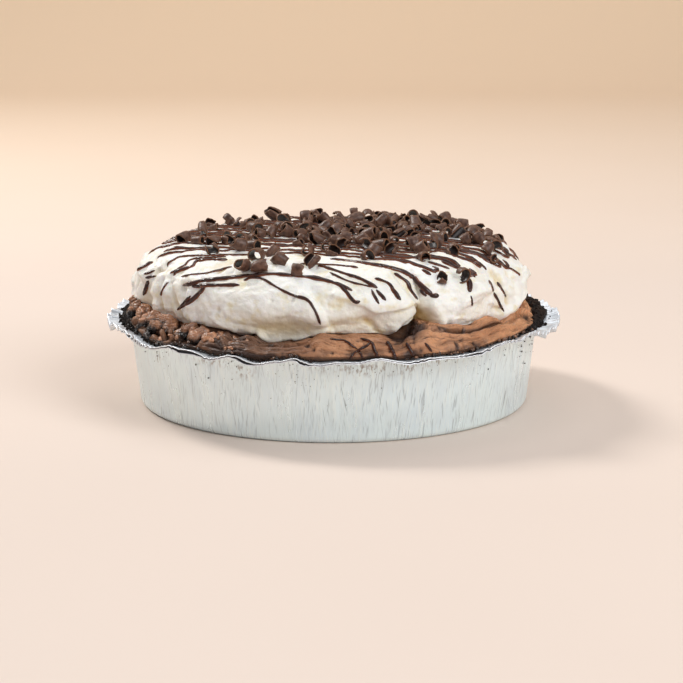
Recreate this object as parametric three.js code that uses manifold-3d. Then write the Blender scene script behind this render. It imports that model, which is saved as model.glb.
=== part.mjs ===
// Chocolate cream pie in a round foil tin: a crumb crust, a chocolate filling, and a thick spread
// of whipped cream with thin chocolate lines and chocolate curls on top.
// Millimetres, +Z up. The origin is the middle of the tin's underside, and the pie's best side
// faces -Y. Angles go anticlockwise from +X, in degrees, so 270 is the front.
import * as THREE from "three";
import { mergeVertices } from "three/addons/utils/BufferGeometryUtils.js";
import Module from "manifold-3d";

const wasm = await Module();
wasm.setup();

// ---- Driving dimensions ----
const COLUMNS = 96; // steps round the pie, the same for every piece, so that nested walls are parallel
const GAP = 0.35; // free space between pieces that rest on each other

const TIN = {
  footRadius: 96.8, // where the flat underside ends
  wallFootRadius: 99.7, // outside of the wall, above its rounded corner
  cornerHeight: 3,
  wallTopRadius: 104.5,
  wallTopHeight: 41.8,
  rimRadius: 116,
  rimHeight: 42.6,
  crinkle: 0.9, // how far the rim's edge waves up and down all round
  sheet: 0.6, // foil with its folds
};

// Larger waves of the rim's edge. at: angle; up: rise; wide: degrees.
const RIM_WAVES = [
  { at: 206, up: 2.6, wide: 7 },
  { at: 220, up: -1.1, wide: 4 },
  { at: 227.5, up: 2.3, wide: 3 },
  { at: 233.5, up: -0.7, wide: 3 },
  { at: 239.5, up: -1, wide: 3 },
  { at: 245.5, up: 0.6, wide: 2.6 },
  { at: 251.5, up: -2.1, wide: 3.6 },
  { at: 261.3, up: 2.3, wide: 2 },
  { at: 267.5, up: -1.2, wide: 3 },
  { at: 276.5, up: -0.8, wide: 3 },
  { at: 292.5, up: -0.9, wide: 4.5 },
  { at: 309, up: 1.1, wide: 5 },
  { at: 316, up: 0.7, wide: 4 },
  { at: 326, up: 2.8, wide: 8 },
];

const CRUST = {
  innerRadius: 103.9, // where the filling's side ends and the crumbs begin
  lipWander: 0.5, // how far that line wanders in and out
  leftInset: 0.5, // how much further in it lies at the left and at the right
  rightInset: 3.2,
  floor: 4.6,
  wall: 5.4,
  footFillet: 3, // how much thicker the wall is at its foot
  ledgeHeight: 41.6, // inside edge, under the filling
  overhang: 1.8, // how far the crumbs spread over the tin's rim at the front
  sideOverhang: 1.7, // and how much further at the left and right
  leastOverhang: 1.3,
  ragged: 0.2, // how uneven the spread is at the front, and how much more at the sides
  sideRagged: 0.4,
  crest: 44.7,
  sideCrest: 1,
  lumps: 0.15, // how uneven the crest is, as above
  sideLumps: 0.5,
  crestInset: 0.8, // from the outer edge in to the crest
  lipDrop: 1.2, // from the crest down to the filling's lip
  rimClearance: 0.6, // room for the rim's crinkles under the crumbs
  leastRise: 0.5, // from the underside up to the crest
};

const FILLING = {
  sideShare: 1.7, // the higher, the nearer the left and right ends the lip draws in
  spread: 9, // how far the lip runs out over the crumbs at the front and back
  lipHeight: 44.6,
  lipThickness: 1.1,
  lipInset: 0.4, // how far the lip's underside lies in from its edge
  restShare: 0.22, // share of the spread that lies flat on the crumbs
  droop: 4, // over this much width the lip droops from the crumbs down to the rim
  rimClearance: 0.4, // room for the rim's waves under the lip
  coreHeight: 51, // flat top under the middle of the cream
  coreRadius: 78,
};
const FILLING_ROWS = [1, 0.94, 0.8, 0.55, 0.25]; // from the lip in to the cream

const CREAM = {
  plateauRadius: 70,
  plateauHeight: 82,
  middleRise: 2,
  shoulder: 28, // from the plateau's edge out to the widest place
  girthHeight: 58, // height of the widest place
  undercut: 14, // how far below it the side would close to the plateau's radius
  bulge: 2.25, // exponent of the side's rounded outline
};

// Height of the edge where the cream meets the filling, from angle to angle.
const CREAM_EDGE = [
  [0, 47.8], [40, 50.4], [75, 50], [110, 52.5], [145, 50.5], [180, 55.5], [200, 55], [206, 50],
  [213, 53], [219, 51.5], [224, 49.8], [229, 52.4], [240, 51.4], [243, 48.8], [248, 50.6],
  [252, 47.4], [259, 48.2], [264.5, 50.4], [266.5, 52.4], [272, 51.8], [281, 51.6], [286.5, 50.4],
  [290, 55], [294, 57.2], [298, 55], [303, 52.8], [309, 51.4], [317, 53.2], [325, 49.4],
  [331, 50.4], [338, 50.2], [342.5, 52], [348, 49.6],
];

// Lobes of the spread cream. at: angle of the crown; left and right: angles to its creases;
// out: how far it stands out; drop: how deep it falls towards its ends; lean: degrees for each
// millimetre up.
const LOBES = [
  { at: 189, left: 16, right: 15, out: 4.2, drop: 7, lean: 0 },
  { at: 210, left: 9, right: 7, out: 2.6, drop: 6, lean: 0.1 },
  { at: 220, left: 7, right: 7, out: 1.4, drop: 5, lean: 0.2 },
  { at: 247, left: 27, right: 22.5, out: 2.6, drop: 8, lean: -0.35 },
  { at: 277, left: 13, right: 9, out: -1.4, drop: 3, lean: -0.3 },
  { at: 288, left: 9, right: 7, out: -0.6, drop: 5, lean: -0.3 },
  { at: 311, left: 14.5, right: 15, out: 2, drop: 7, lean: 0 },
  { at: 333, left: 12, right: 14, out: 0.6, drop: 6, lean: 0.1 },
  { at: 357, left: 17, right: 15, out: 0.2, drop: 5, lean: -0.2 },
  { at: 22, left: 18, right: 14, out: 0.4, drop: 4.5, lean: 0.3 },
  { at: 47, left: 19, right: 15, out: 1.8, drop: 5.5, lean: 0 },
  { at: 75, left: 18, right: 20, out: 0, drop: 4.5, lean: -0.3 },
  { at: 104, left: 17, right: 17, out: 2, drop: 6, lean: 0.2 },
  { at: 131, left: 19, right: 15, out: 0.6, drop: 4.5, lean: 0.3 },
  { at: 158, left: 18, right: 18, out: 2.4, drop: 5, lean: -0.1 },
];
const DEEPEST_CREASE = 6;

// Places where the spatula pushed the cream's side in (deep) or pulled it out (negative).
const SCOOPS = [
  { at: 256, height: 55, wide: 12, tall: 5.5, deep: 4.6 },
  { at: 264, height: 62, wide: 7, tall: 4, deep: -1.4 },
  { at: 280, height: 57, wide: 9, tall: 5, deep: 2.2 },
  { at: 282, height: 67, wide: 10, tall: 3.5, deep: -1.2 },
  { at: 296.8, height: 55, wide: 3.6, tall: 9, deep: 8 },
  { at: 324.5, height: 62, wide: 3, tall: 9, deep: 3 },
  { at: 354, height: 69.5, wide: 7, tall: 3.5, deep: 2.2 },
  { at: 354, height: 52, wide: 7, tall: 4, deep: -1.2 },
  { at: 202, height: 60, wide: 3.5, tall: 8, deep: 3 },
  { at: 87, height: 56, wide: 9, tall: 6, deep: 3.4 },
  { at: 33, height: 60, wide: 8, tall: 6, deep: 2.6 },
  { at: 143, height: 57, wide: 8, tall: 6, deep: 3.6 },
];

// Relief of the filling's visible ring. along: 0 at the cream, 1 at the outer edge.
const FILLING_RELIEF = [
  { at: 290.5, along: 0.15, wide: 3, deep: 8, reach: 0.38 }, // the dark hollow under the cream
  { at: 312, along: 0.5, wide: 16, deep: 1.3, reach: 0.13 }, // groove below the right-hand stroke
  { at: 318, along: 0.27, wide: 17, deep: -1.2, reach: 0.16 },
  { at: 349, along: 0.6, wide: 5, deep: -1.3, reach: 0.3 }, // lump at the end of that stroke
  { at: 338, along: 0.7, wide: 2.5, deep: 1.6, reach: 0.16 },
  { at: 263, along: 0.55, wide: 8, deep: -0.8, reach: 0.3 },
];
const CRAGS = {
  from: 176, // the rough stretch: from the left side round to the left front
  to: 240,
  blend: 6, // degrees over which it fades
  deep: 3,
  elsewhere: 0.5,
  outward: 0.4, // share of a crag that also moves out
};

const LINES = {
  spacing: 19.5, // the thickest lines: every third one
  slope: -0.3,
  first: -82,
  last: 84,
  reach: 96, // how far from the axis they run down the side
  halfWidth: 1,
  height: 1.1,
  depth: 1.5,
  steps: 5, // on each side of a line's middle
};

// Curls. Pairs hold the smallest value and how much a random draw adds.
const CURLS = {
  count: 80,
  radius: [3.5, 1.6],
  length: [5, 4],
  arc: [250, 90],
  taper: [0.65, 0.3],
  tighten: 0.3, // how much the scroll's radius shrinks from end to end
  tilt: 1.5, // the most that its axis leans, in radians from one side to the other
  sheet: 1,
  arcSteps: 3,
  sink: 1, // how deep the lowest point goes into the cream
  apart: 7,
  field: 88, // half the width of the square in which places are drawn
  lowest: 74, // none where the cream has fallen below this height
};
// Curls that the front shows one by one, as [x, y]; the rest of the heap is scattered.
const FRONT_CURLS = [
  [-76, -8], [-68, 8], [-60, -21], [-59, -46], [-53, -19], [-46, -24], [-51, 43], [-40, -37],
  [-41, 6], [-32, -4], [-23, 3], [-37, -65], [-35, -80], [-43, -78], [-30, -53], [-25, -75],
  [-16, -86], [-13, -55], [-10, -78], [-10, -20], [0, -56], [5, -15], [6, -27], [14, -29],
  [20, -54], [29, -50], [34, -9], [39, -40], [43, -63], [51, -28], [58, -53], [64, 1],
  [74, -17], [81, -13], [52, -79], [61, -75],
];
// The heap: its middle, its half widths, how wide it is spread, and where it thins out in front.
const HEAP = {
  x: 8,
  y: 14,
  halfX: 78,
  halfY: 62,
  spread: 1.05,
  frontY: -78,
  slant: 0.25,
  thinning: 50,
  least: 0.15,
  leftX: -78,
  leftLeast: 0.15,
};
const TRIES = 6000;

// ---- Numbers that repeat ----
const SHORTEST_EDGE = 0.002;
const TURN = Math.PI * 2;
const DEGREE = Math.PI / 180;

// A small random generator: the same seed always gives the same pie.
function dice(seed) {
  let state = seed >>> 0;
  return () => {
    state = (Math.imul(state, 1664525) + 1013904223) >>> 0;
    return state / 4294967296;
  };
}

// A wave round the pie: one sine for each order, with seeded phases.
function ripple(seed, orders) {
  const roll = dice(seed);
  const phases = orders.map(() => roll() * TURN);
  const share = 1 / Math.sqrt(orders.length);
  return (angle) => {
    let sum = 0;
    orders.forEach((order, i) => {
      sum += share * Math.sin(order * angle * DEGREE + phases[i]);
    });
    return sum;
  };
}

function turnBetween(angle, from) {
  return ((((angle - from + 180) % 360) + 360) % 360) - 180;
}

function hill(distance, width) {
  return Math.exp(-((distance / width) ** 2));
}

// Smooth rise from 0 to 1 between two angles' distances.
function ease(value) {
  const t = Math.min(1, Math.max(0, value));
  return t * t * (3 - 2 * t);
}

// Reads a closed table of [angle, value] pairs with smooth steps between them.
function around(table, angle) {
  const turned = ((angle % 360) + 360) % 360;
  for (let i = 0; i < table.length; i++) {
    const [from, low] = table[i];
    const [next, high] = table[(i + 1) % table.length];
    const to = i + 1 < table.length ? next : next + 360;
    if (turned >= from && turned <= to) return low + (high - low) * ease((turned - from) / (to - from));
  }
  return table[0][1];
}

// ---- Meshes made of rings ----
// Each ring is a list of points round the axis. The next ring has as many, or half as many.
function ringOf(count, place) {
  const ring = [];
  for (let i = 0; i < count; i++) {
    const angle = (360 * i) / count;
    const [radius, height] = place(angle, i);
    ring.push([radius * Math.cos(angle * DEGREE), radius * Math.sin(angle * DEGREE), height]);
  }
  return ring;
}

// Splits the flat inside of a ring into triangles, with one large triangle over the middle.
function flatTriangles(from, to, count, add) {
  if (to - from < 2) return;
  const middle = Math.floor((from + to) / 2);
  add(from % count, middle % count, to % count);
  flatTriangles(from, middle, count, add);
  flatTriangles(middle, to, count, add);
}

function closeFlat(start, count, up, index) {
  const add = (a, b, c) => {
    if (up) index.push(start + a, start + b, start + c);
    else index.push(start + a, start + c, start + b);
  };
  const third = count / 3;
  add(0, third, 2 * third);
  for (let i = 0; i < 3; i++) flatTriangles(i * third, (i + 1) * third, count, add);
}

// A closed skin through rings that start at the underside's edge and end at the top's edge.
function skin(rings) {
  const points = [];
  const index = [];
  const starts = rings.map((ring) => {
    const start = points.length;
    points.push(...ring);
    return start;
  });
  for (let r = 0; r + 1 < rings.length; r++) {
    const many = rings[r].length;
    const next = rings[r + 1].length;
    const a = starts[r];
    const b = starts[r + 1];
    for (let i = 0; i < many; i++) {
      const j = (i + 1) % many;
      if (next === many) {
        index.push(a + i, a + j, b + j, a + i, b + j, b + i);
      } else if (next * 2 === many) {
        const near = b + Math.floor(i / 2);
        const far = b + (Math.floor(i / 2) + 1) % next;
        if (i % 2 === 0) index.push(a + i, a + j, near);
        else index.push(a + i, far, near, a + i, a + j, far);
      } else {
        const near = b + i * 2;
        index.push(a + i, near + 1, near, a + i, a + j, near + 1);
        index.push(a + j, b + ((i + 1) * 2) % next, near + 1);
      }
    }
  }
  closeFlat(starts[0], rings[0].length, false, index);
  closeFlat(starts[rings.length - 1], rings[rings.length - 1].length, true, index);
  const geometry = new THREE.BufferGeometry();
  geometry.setAttribute("position", new THREE.Float32BufferAttribute(points.flat(), 3));
  geometry.setIndex(index);
  return geometry;
}

// ---- Foil tin ----
const crinkleWave = ripple(11, [9, 17, 23, 31]);

function rimWave(angle) {
  const waves = RIM_WAVES.map(({ at, up, wide }) => up * hill(turnBetween(angle, at), wide));
  return waves.reduce((sum, wave) => sum + wave, TIN.crinkle * crinkleWave(angle));
}

function rimHeight(radius, angle) {
  const out = Math.max(0, (radius - TIN.wallTopRadius) / (TIN.rimRadius - TIN.wallTopRadius));
  return TIN.rimHeight + rimWave(angle) * out;
}

function foilTin() {
  const t = TIN.sheet;
  const level = (radius, height) => ringOf(COLUMNS, () => [radius, height]);
  return skin([
    level(TIN.footRadius, 0),
    level(TIN.wallFootRadius, TIN.cornerHeight),
    level(TIN.wallTopRadius, TIN.wallTopHeight),
    ringOf(COLUMNS, (angle) => [TIN.rimRadius, rimHeight(TIN.rimRadius, angle) - t]),
    ringOf(COLUMNS, (angle) => [TIN.rimRadius, rimHeight(TIN.rimRadius, angle)]),
    level(TIN.wallTopRadius - t, TIN.rimHeight),
    level(TIN.wallFootRadius - t, TIN.cornerHeight + t),
    level(TIN.footRadius - t, t),
  ]);
}

// ---- Crumb crust ----
const crumbWave = ripple(23, [7, 13, 19, 29, 37]);
const lipWave = ripple(37, [5, 8, 13]);

// 1 at the left and right of the pie, 0 at its front and back.
function sideways(angle) {
  return Math.abs(Math.cos(angle * DEGREE)) ** 6;
}

function crustOuter(angle) {
  const side = sideways(angle);
  const ragged = (CRUST.ragged + CRUST.sideRagged * side) * crumbWave(angle);
  const spread = CRUST.overhang + CRUST.sideOverhang * side + ragged;
  return TIN.wallTopRadius + Math.max(CRUST.leastOverhang, spread);
}

// Height of the crumbs' underside where it lies over the tin's rim.
function crustUnderside(angle) {
  return rimHeight(crustOuter(angle), angle) + GAP + CRUST.rimClearance;
}

function crustCrest(angle) {
  const side = sideways(angle);
  const lumps = (CRUST.lumps + CRUST.sideLumps * side) * crumbWave(angle + 3);
  return Math.max(CRUST.crest + CRUST.sideCrest * side + lumps, crustUnderside(angle) + CRUST.leastRise);
}

function crustInner(angle) {
  const inset = Math.cos(angle * DEGREE) > 0 ? CRUST.rightInset : CRUST.leftInset;
  return CRUST.innerRadius + CRUST.lipWander * lipWave(angle) - inset * sideways(angle);
}

function crumbCrust() {
  const outside = TIN.sheet + GAP;
  const foot = TIN.footRadius - outside;
  const wallFoot = TIN.wallFootRadius - outside;
  const wallTop = TIN.wallTopRadius - outside;
  return skin([
    ringOf(COLUMNS, () => [foot, outside]),
    ringOf(COLUMNS, () => [wallFoot, TIN.cornerHeight + outside]),
    ringOf(COLUMNS, () => [wallTop, TIN.rimHeight + GAP + CRUST.rimClearance]),
    ringOf(COLUMNS, (angle) => [crustOuter(angle), crustUnderside(angle)]),
    ringOf(COLUMNS, (angle) => [crustOuter(angle) - CRUST.crestInset, crustCrest(angle)]),
    ringOf(COLUMNS, (angle) => [crustInner(angle), crustCrest(angle) - CRUST.lipDrop]),
    ringOf(COLUMNS, () => [wallTop - CRUST.wall, CRUST.ledgeHeight]),
    ringOf(COLUMNS, () => [wallFoot - CRUST.wall - CRUST.footFillet, outside + CRUST.floor]),
  ]);
}

// ---- Chocolate filling ----
const cragDice = dice(51);
const CRAG_TABLE = Array.from({ length: COLUMNS * 8 }, () => cragDice() * 2 - 1);

// The lip of the filling's side where it stands against the crumbs.
function innerLip(angle) {
  return crustInner(angle) - GAP - 0.1;
}

// The filling's outer edge: inside the crumbs at the sides, out over them at the front and back.
function fillingLip(angle) {
  return innerLip(angle) + FILLING.spread * (1 - sideways(angle) ** FILLING.sideShare);
}

// Height of the lip's underside, which droops from the crumbs to the rim where the lip is wide.
function fillingUnderside(angle) {
  const lip = fillingLip(angle);
  const onCrumbs = crustCrest(angle) + 2 * GAP;
  const onRim = rimHeight(lip, angle) + GAP + FILLING.rimClearance;
  return onCrumbs + (onRim - onCrumbs) * ease((lip - crustOuter(angle) - 1) / FILLING.droop);
}

function creamEdgeHeight(angle) {
  return around(CREAM_EDGE, angle);
}

// How craggy the filling is: rough at the left front, smooth elsewhere.
function roughness(angle) {
  const rise = ease((turnBetween(angle, CRAGS.from) + CRAGS.blend) / (2 * CRAGS.blend));
  const fall = ease((turnBetween(CRAGS.to, angle) + CRAGS.blend) / (2 * CRAGS.blend));
  return CRAGS.elsewhere + (CRAGS.deep - CRAGS.elsewhere) * rise * fall;
}

function fillingRelief(angle, along) {
  let height = 0;
  for (const mark of FILLING_RELIEF) {
    height -= mark.deep * hill(turnBetween(angle, mark.at), mark.wide) * hill(along - mark.along, mark.reach);
  }
  return height;
}

// A ring of the filling's visible band. along: 0 where it goes under the cream, 1 at its lip.
function fillingBand(along, row) {
  return ringOf(COLUMNS, (angle, i) => {
    const inner = creamEdgeRadius(angle);
    const radius = inner + (fillingLip(angle) - inner) * along;
    const underside = fillingUnderside(angle);
    const low = Math.max(FILLING.lipHeight, underside + FILLING.lipThickness);
    const high = creamEdgeHeight(angle) - GAP;
    const round = (1 - along ** 2.6) ** 0.6;
    const relief = along < 1 ? fillingRelief(angle, along) : 0;
    const crag = roughness(angle) * CRAG_TABLE[i * 8 + row] * Math.sin(Math.PI * along);
    const height = low + (high - low) * round + relief + crag;
    return [radius + CRAGS.outward * crag, Math.max(height, underside + 0.7 * FILLING.lipThickness)];
  });
}

function chocolateFilling() {
  const outside = TIN.sheet + GAP;
  const wallTop = TIN.wallTopRadius - outside - CRUST.wall - GAP;
  const wallFoot = TIN.wallFootRadius - outside - CRUST.wall - CRUST.footFillet - GAP;
  return skin([
    ringOf(COLUMNS, () => [wallFoot, outside + CRUST.floor + GAP]),
    ringOf(COLUMNS, () => [wallTop, CRUST.ledgeHeight + GAP + 0.2]),
    ringOf(COLUMNS, (angle) => [innerLip(angle), crustCrest(angle) - CRUST.lipDrop + 2 * GAP]),
    ringOf(COLUMNS, (angle) => [
      innerLip(angle) + FILLING.restShare * FILLING.spread * (1 - sideways(angle)),
      crustCrest(angle) + 2 * GAP + 0.2 - CRUST.lipDrop * sideways(angle),
    ]),
    ringOf(COLUMNS, (angle) => [fillingLip(angle) - FILLING.lipInset, fillingUnderside(angle)]),
    ...FILLING_ROWS.map((along, row) => fillingBand(along, row)),
    ringOf(COLUMNS, (angle) => [
      creamEdgeRadius(angle),
      creamEdgeHeight(angle) - GAP + Math.min(0, fillingRelief(angle, 0)),
    ]),
    ringOf(COLUMNS / 2, () => [FILLING.coreRadius, FILLING.coreHeight]),
  ]);
}

// ---- Whipped cream ----
function lobeReach(angle, height) {
  let reach = -DEEPEST_CREASE;
  for (const lobe of LOBES) {
    const off = turnBetween(angle, lobe.at + lobe.lean * (height - CREAM.girthHeight));
    const share = off < 0 ? -off / lobe.left : off / lobe.right;
    if (share < 1) reach = Math.max(reach, lobe.out - lobe.drop * (1 - Math.cbrt(1 - share ** 3)));
  }
  return reach;
}

function scoopDepth(angle, height) {
  let depth = 0;
  for (const { at, height: middle, wide, tall, deep } of SCOOPS) {
    depth += deep * hill(turnBetween(angle, at), wide) * hill(height - middle, tall);
  }
  return depth;
}

// Radius of the cream's side at a height between its lower edge and the plateau.
function sideRadius(angle, height) {
  const span = height < CREAM.girthHeight ? CREAM.undercut : CREAM.plateauHeight - CREAM.girthHeight;
  const rise = Math.min(1, Math.abs(height - CREAM.girthHeight) / span);
  const round = (1 - rise ** CREAM.bulge) ** (1 / CREAM.bulge);
  const reach = CREAM.shoulder + lobeReach(angle, height) - scoopDepth(angle, height);
  return CREAM.plateauRadius + reach * round;
}

function creamEdgeRadius(angle) {
  return sideRadius(angle, creamEdgeHeight(angle)) - 0.8;
}

const swellWave = ripple(71, [2, 3, 5]);

// The plateau: a low dome that swells a little.
function plateauHeight(radius, angle) {
  const share = Math.min(1, radius / CREAM.plateauRadius);
  const swell = 0.5 * swellWave(angle) * share * (1 - share);
  return CREAM.plateauHeight + CREAM.middleRise * (1 - share * share) + swell;
}

function creamSide(count, steepness) {
  const lift = Math.sin(steepness * DEGREE) ** (2 / CREAM.bulge);
  const height = CREAM.girthHeight + (CREAM.plateauHeight - CREAM.girthHeight) * lift;
  return ringOf(count, (angle) => [sideRadius(angle, height), height]);
}

function creamBody() {
  const lower = (share) => ringOf(COLUMNS, (angle) => {
    const edge = creamEdgeHeight(angle);
    const height = edge + (CREAM.girthHeight - edge) * share;
    return [sideRadius(angle, height), height];
  });
  const top = (count, radius) => ringOf(count, (angle) => [radius, plateauHeight(radius, angle)]);
  return skin([
    ringOf(COLUMNS / 2, () => [FILLING.coreRadius, FILLING.coreHeight + GAP]),
    ringOf(COLUMNS, (angle) => [creamEdgeRadius(angle), creamEdgeHeight(angle)]),
    lower(0.25),
    lower(0.65),
    creamSide(COLUMNS, 6),
    creamSide(COLUMNS, 20),
    creamSide(COLUMNS, 36),
    creamSide(COLUMNS / 2, 53),
    creamSide(COLUMNS / 2, 71),
    top(COLUMNS / 2, CREAM.plateauRadius - 4),
    top(COLUMNS / 4, 40),
    top(COLUMNS / 8, 18),
  ]);
}

// Height of the cream's top seen from above, or null outside its widest place.
function creamTop(x, y) {
  const radius = Math.hypot(x, y);
  const angle = Math.atan2(y, x) / DEGREE;
  if (radius <= CREAM.plateauRadius) return plateauHeight(radius, angle);
  let low = CREAM.girthHeight + 4;
  let high = CREAM.plateauHeight;
  if (radius > sideRadius(angle, low)) return null;
  for (let step = 0; step < 24; step++) {
    const middle = (low + high) / 2;
    if (sideRadius(angle, middle) > radius) low = middle;
    else high = middle;
  }
  return low;
}

// ---- Chocolate lines ----
// A ridge with a three-sided section along a path of points.
function ridge(path) {
  const points = [];
  const index = [];
  path.forEach(([x, y, z], i) => {
    const [ax, ay] = path[Math.max(0, i - 1)];
    const [bx, by] = path[Math.min(path.length - 1, i + 1)];
    const length = Math.hypot(bx - ax, by - ay);
    const sideX = (-(by - ay) / length) * LINES.halfWidth;
    const sideY = ((bx - ax) / length) * LINES.halfWidth;
    points.push([x + sideX, y + sideY, z - LINES.depth]);
    points.push([x - sideX, y - sideY, z - LINES.depth]);
    points.push([x, y, z + LINES.height]);
  });
  for (let i = 0; i + 1 < path.length; i++) {
    for (let k = 0; k < 3; k++) {
      const a = i * 3 + k;
      const b = i * 3 + ((k + 1) % 3);
      index.push(a, b + 3, b, a, a + 3, b + 3);
    }
  }
  const last = (path.length - 1) * 3;
  index.push(0, 1, 2, last, last + 2, last + 1);
  const geometry = new THREE.BufferGeometry();
  geometry.setAttribute("position", new THREE.Float32BufferAttribute(points.flat(), 3));
  geometry.setIndex(index);
  return geometry;
}

// The points of one line over the cream, close together where the cream bends down.
function linePath(offset, wobble) {
  const stretch = Math.hypot(1, LINES.slope);
  const middle = -(offset * LINES.slope) / stretch ** 2; // x of the point nearest the axis
  const half = Math.sqrt(LINES.reach ** 2 - (offset / stretch) ** 2) / stretch;
  const path = [];
  for (let step = -LINES.steps; step <= LINES.steps; step++) {
    const x = middle + half * Math.sin((step / LINES.steps) * (Math.PI / 2));
    const y = offset + LINES.slope * x + 0.8 * Math.sin(x / 17 + wobble);
    const z = creamTop(x, y);
    if (z !== null) path.push([x, y, z]);
  }
  return path;
}

function chocolateLines() {
  const roll = dice(83);
  const ridges = [];
  for (let offset = LINES.first; offset <= LINES.last; offset += LINES.spacing) {
    const path = linePath(offset, roll() * TURN);
    if (path.length > 2) ridges.push(ridge(path));
  }
  return ridges;
}

// ---- Chocolate curls ----
// A strip rolled into an open scroll round its own Y axis.
function curl(radius, length, arc, taper) {
  const sections = [];
  for (const [end, scale] of [[-1, 1], [1, taper]]) {
    const outer = [];
    const inner = [];
    for (let i = 0; i <= CURLS.arcSteps; i++) {
      const turn = (arc * i * DEGREE) / CURLS.arcSteps;
      const out = radius * scale * (1 - (CURLS.tighten * i) / CURLS.arcSteps);
      outer.push([out * Math.cos(turn), (end * length) / 2, out * Math.sin(turn)]);
      const inside = out - CURLS.sheet;
      inner.push([inside * Math.cos(turn), (end * length) / 2, inside * Math.sin(turn)]);
    }
    sections.push([...outer, ...inner.reverse()]);
  }
  const count = sections[0].length;
  const index = [];
  for (let i = 0; i < count; i++) {
    const j = (i + 1) % count;
    index.push(i, i + count, j + count, i, j + count, j);
  }
  for (let i = 0; i < CURLS.arcSteps; i++) {
    const across = count - 1 - i;
    index.push(i, i + 1, across, i + 1, across - 1, across);
    index.push(count + i, count + across, count + i + 1, count + i + 1, count + across, count + across - 1);
  }
  const geometry = new THREE.BufferGeometry();
  geometry.setAttribute("position", new THREE.Float32BufferAttribute(sections.flat(2), 3));
  geometry.setIndex(index);
  return geometry;
}

// How thickly the curls lie: a broad heap behind the middle, thin towards the front and the left.
function curlChance(x, y) {
  const heap = hill(Math.hypot((x - HEAP.x) / HEAP.halfX, (y - HEAP.y) / HEAP.halfY), HEAP.spread);
  const front = ease((y - HEAP.frontY + HEAP.slant * x) / HEAP.thinning);
  const left = HEAP.leftLeast + (1 - HEAP.leftLeast) * ease((x - HEAP.leftX) / HEAP.thinning);
  return heap * left * (HEAP.least + (1 - HEAP.least) * front);
}

function curlPlaces() {
  const roll = dice(97);
  const places = [...FRONT_CURLS];
  for (let tries = 0; tries < TRIES && places.length < CURLS.count; tries++) {
    const x = (roll() * 2 - 1) * CURLS.field;
    const y = (roll() * 2 - 1) * CURLS.field;
    const free = places.every(([px, py]) => Math.hypot(px - x, py - y) > CURLS.apart);
    if (free && roll() < curlChance(x, y) && creamTop(x, y) > CURLS.lowest) places.push([x, y]);
  }
  return places;
}

// Turns a curl at random and lowers it until it sinks a little into the cream.
function placedCurl([x, y], roll) {
  const ranges = [CURLS.radius, CURLS.length, CURLS.arc, CURLS.taper];
  const geometry = curl(...ranges.map(([least, more]) => least + more * roll()));
  const turn = new THREE.Euler((roll() - 0.5) * CURLS.tilt, roll() * TURN, roll() * TURN, "ZXY");
  geometry.applyMatrix4(new THREE.Matrix4().makeRotationFromEuler(turn));
  const points = geometry.getAttribute("position");
  let deepest = -Infinity;
  for (let i = 0; i < points.count; i++) {
    const under = creamTop(x + points.getX(i), y + points.getY(i));
    if (under !== null) deepest = Math.max(deepest, under - points.getZ(i));
  }
  geometry.translate(x, y, deepest - CURLS.sink);
  return geometry;
}

// ---- Joining ----
function solid(geometry) {
  const plain = geometry.clone();
  plain.deleteAttribute("normal");
  plain.deleteAttribute("uv");
  const merged = mergeVertices(plain, 1e-4);
  return new wasm.Manifold(new wasm.Mesh({
    numProp: 3,
    vertProperties: new Float32Array(merged.getAttribute("position").array),
    triVerts: new Uint32Array(merged.index.array),
  }));
}

// Where ridges and curls meet, a join leaves very short edges: their ends become one point.
// Triangles that lose their area go, and so do two that then lie face to face.
function tidied(manifold) {
  const { vertProperties, triVerts } = manifold.getMesh();
  const kept = Array.from({ length: vertProperties.length / 3 }, (unused, i) => i);
  const keptFor = (i) => {
    let at = i;
    while (kept[at] !== at) at = kept[at];
    return at;
  };
  const apart = (a, b, k) => vertProperties[3 * a + k] - vertProperties[3 * b + k];
  const length = (a, b) => Math.hypot(...[0, 1, 2].map((k) => apart(a, b, k)));
  for (let i = 0; i < triVerts.length; i++) {
    const next = i % 3 === 2 ? i - 2 : i + 1;
    const a = keptFor(triVerts[i]);
    const b = keptFor(triVerts[next]);
    if (a !== b && length(a, b) < SHORTEST_EDGE) kept[b] = a;
  }
  const faces = new Map();
  for (let i = 0; i < triVerts.length; i += 3) {
    const face = [0, 1, 2].map((k) => keptFor(triVerts[i + k]));
    if (new Set(face).size < 3) continue;
    const corners = [...face].sort((a, b) => a - b).join();
    if (faces.has(corners)) faces.delete(corners);
    else faces.set(corners, face);
  }
  return new wasm.Manifold(new wasm.Mesh({
    numProp: 3,
    vertProperties,
    triVerts: new Uint32Array([...faces.values()].flat()),
  }));
}

function geometryOf(manifold) {
  const mesh = manifold.getMesh();
  const geometry = new THREE.BufferGeometry();
  geometry.setAttribute("position", new THREE.Float32BufferAttribute(mesh.vertProperties, 3));
  geometry.setIndex(new THREE.Uint32BufferAttribute(mesh.triVerts, 1));
  geometry.computeVertexNormals();
  return geometry;
}

function whippedCream() {
  const roll = dice(101);
  const body = solid(creamBody());
  const toppings = [...chocolateLines(), ...curlPlaces().map((place) => placedCurl(place, roll))];
  const joined = tidied(wasm.Manifold.union([body, ...toppings.map(solid)]));
  const [largest] = joined.decompose().sort((a, b) => b.volume() - a.volume());
  return geometryOf(largest);
}

// ---- The pie ----
function piece(name, geometry, colour, roughnessOf, metalness = 0) {
  const material = new THREE.MeshStandardMaterial({ color: colour, roughness: roughnessOf, metalness });
  const mesh = new THREE.Mesh(geometry, material);
  mesh.name = name;
  return mesh;
}

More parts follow.
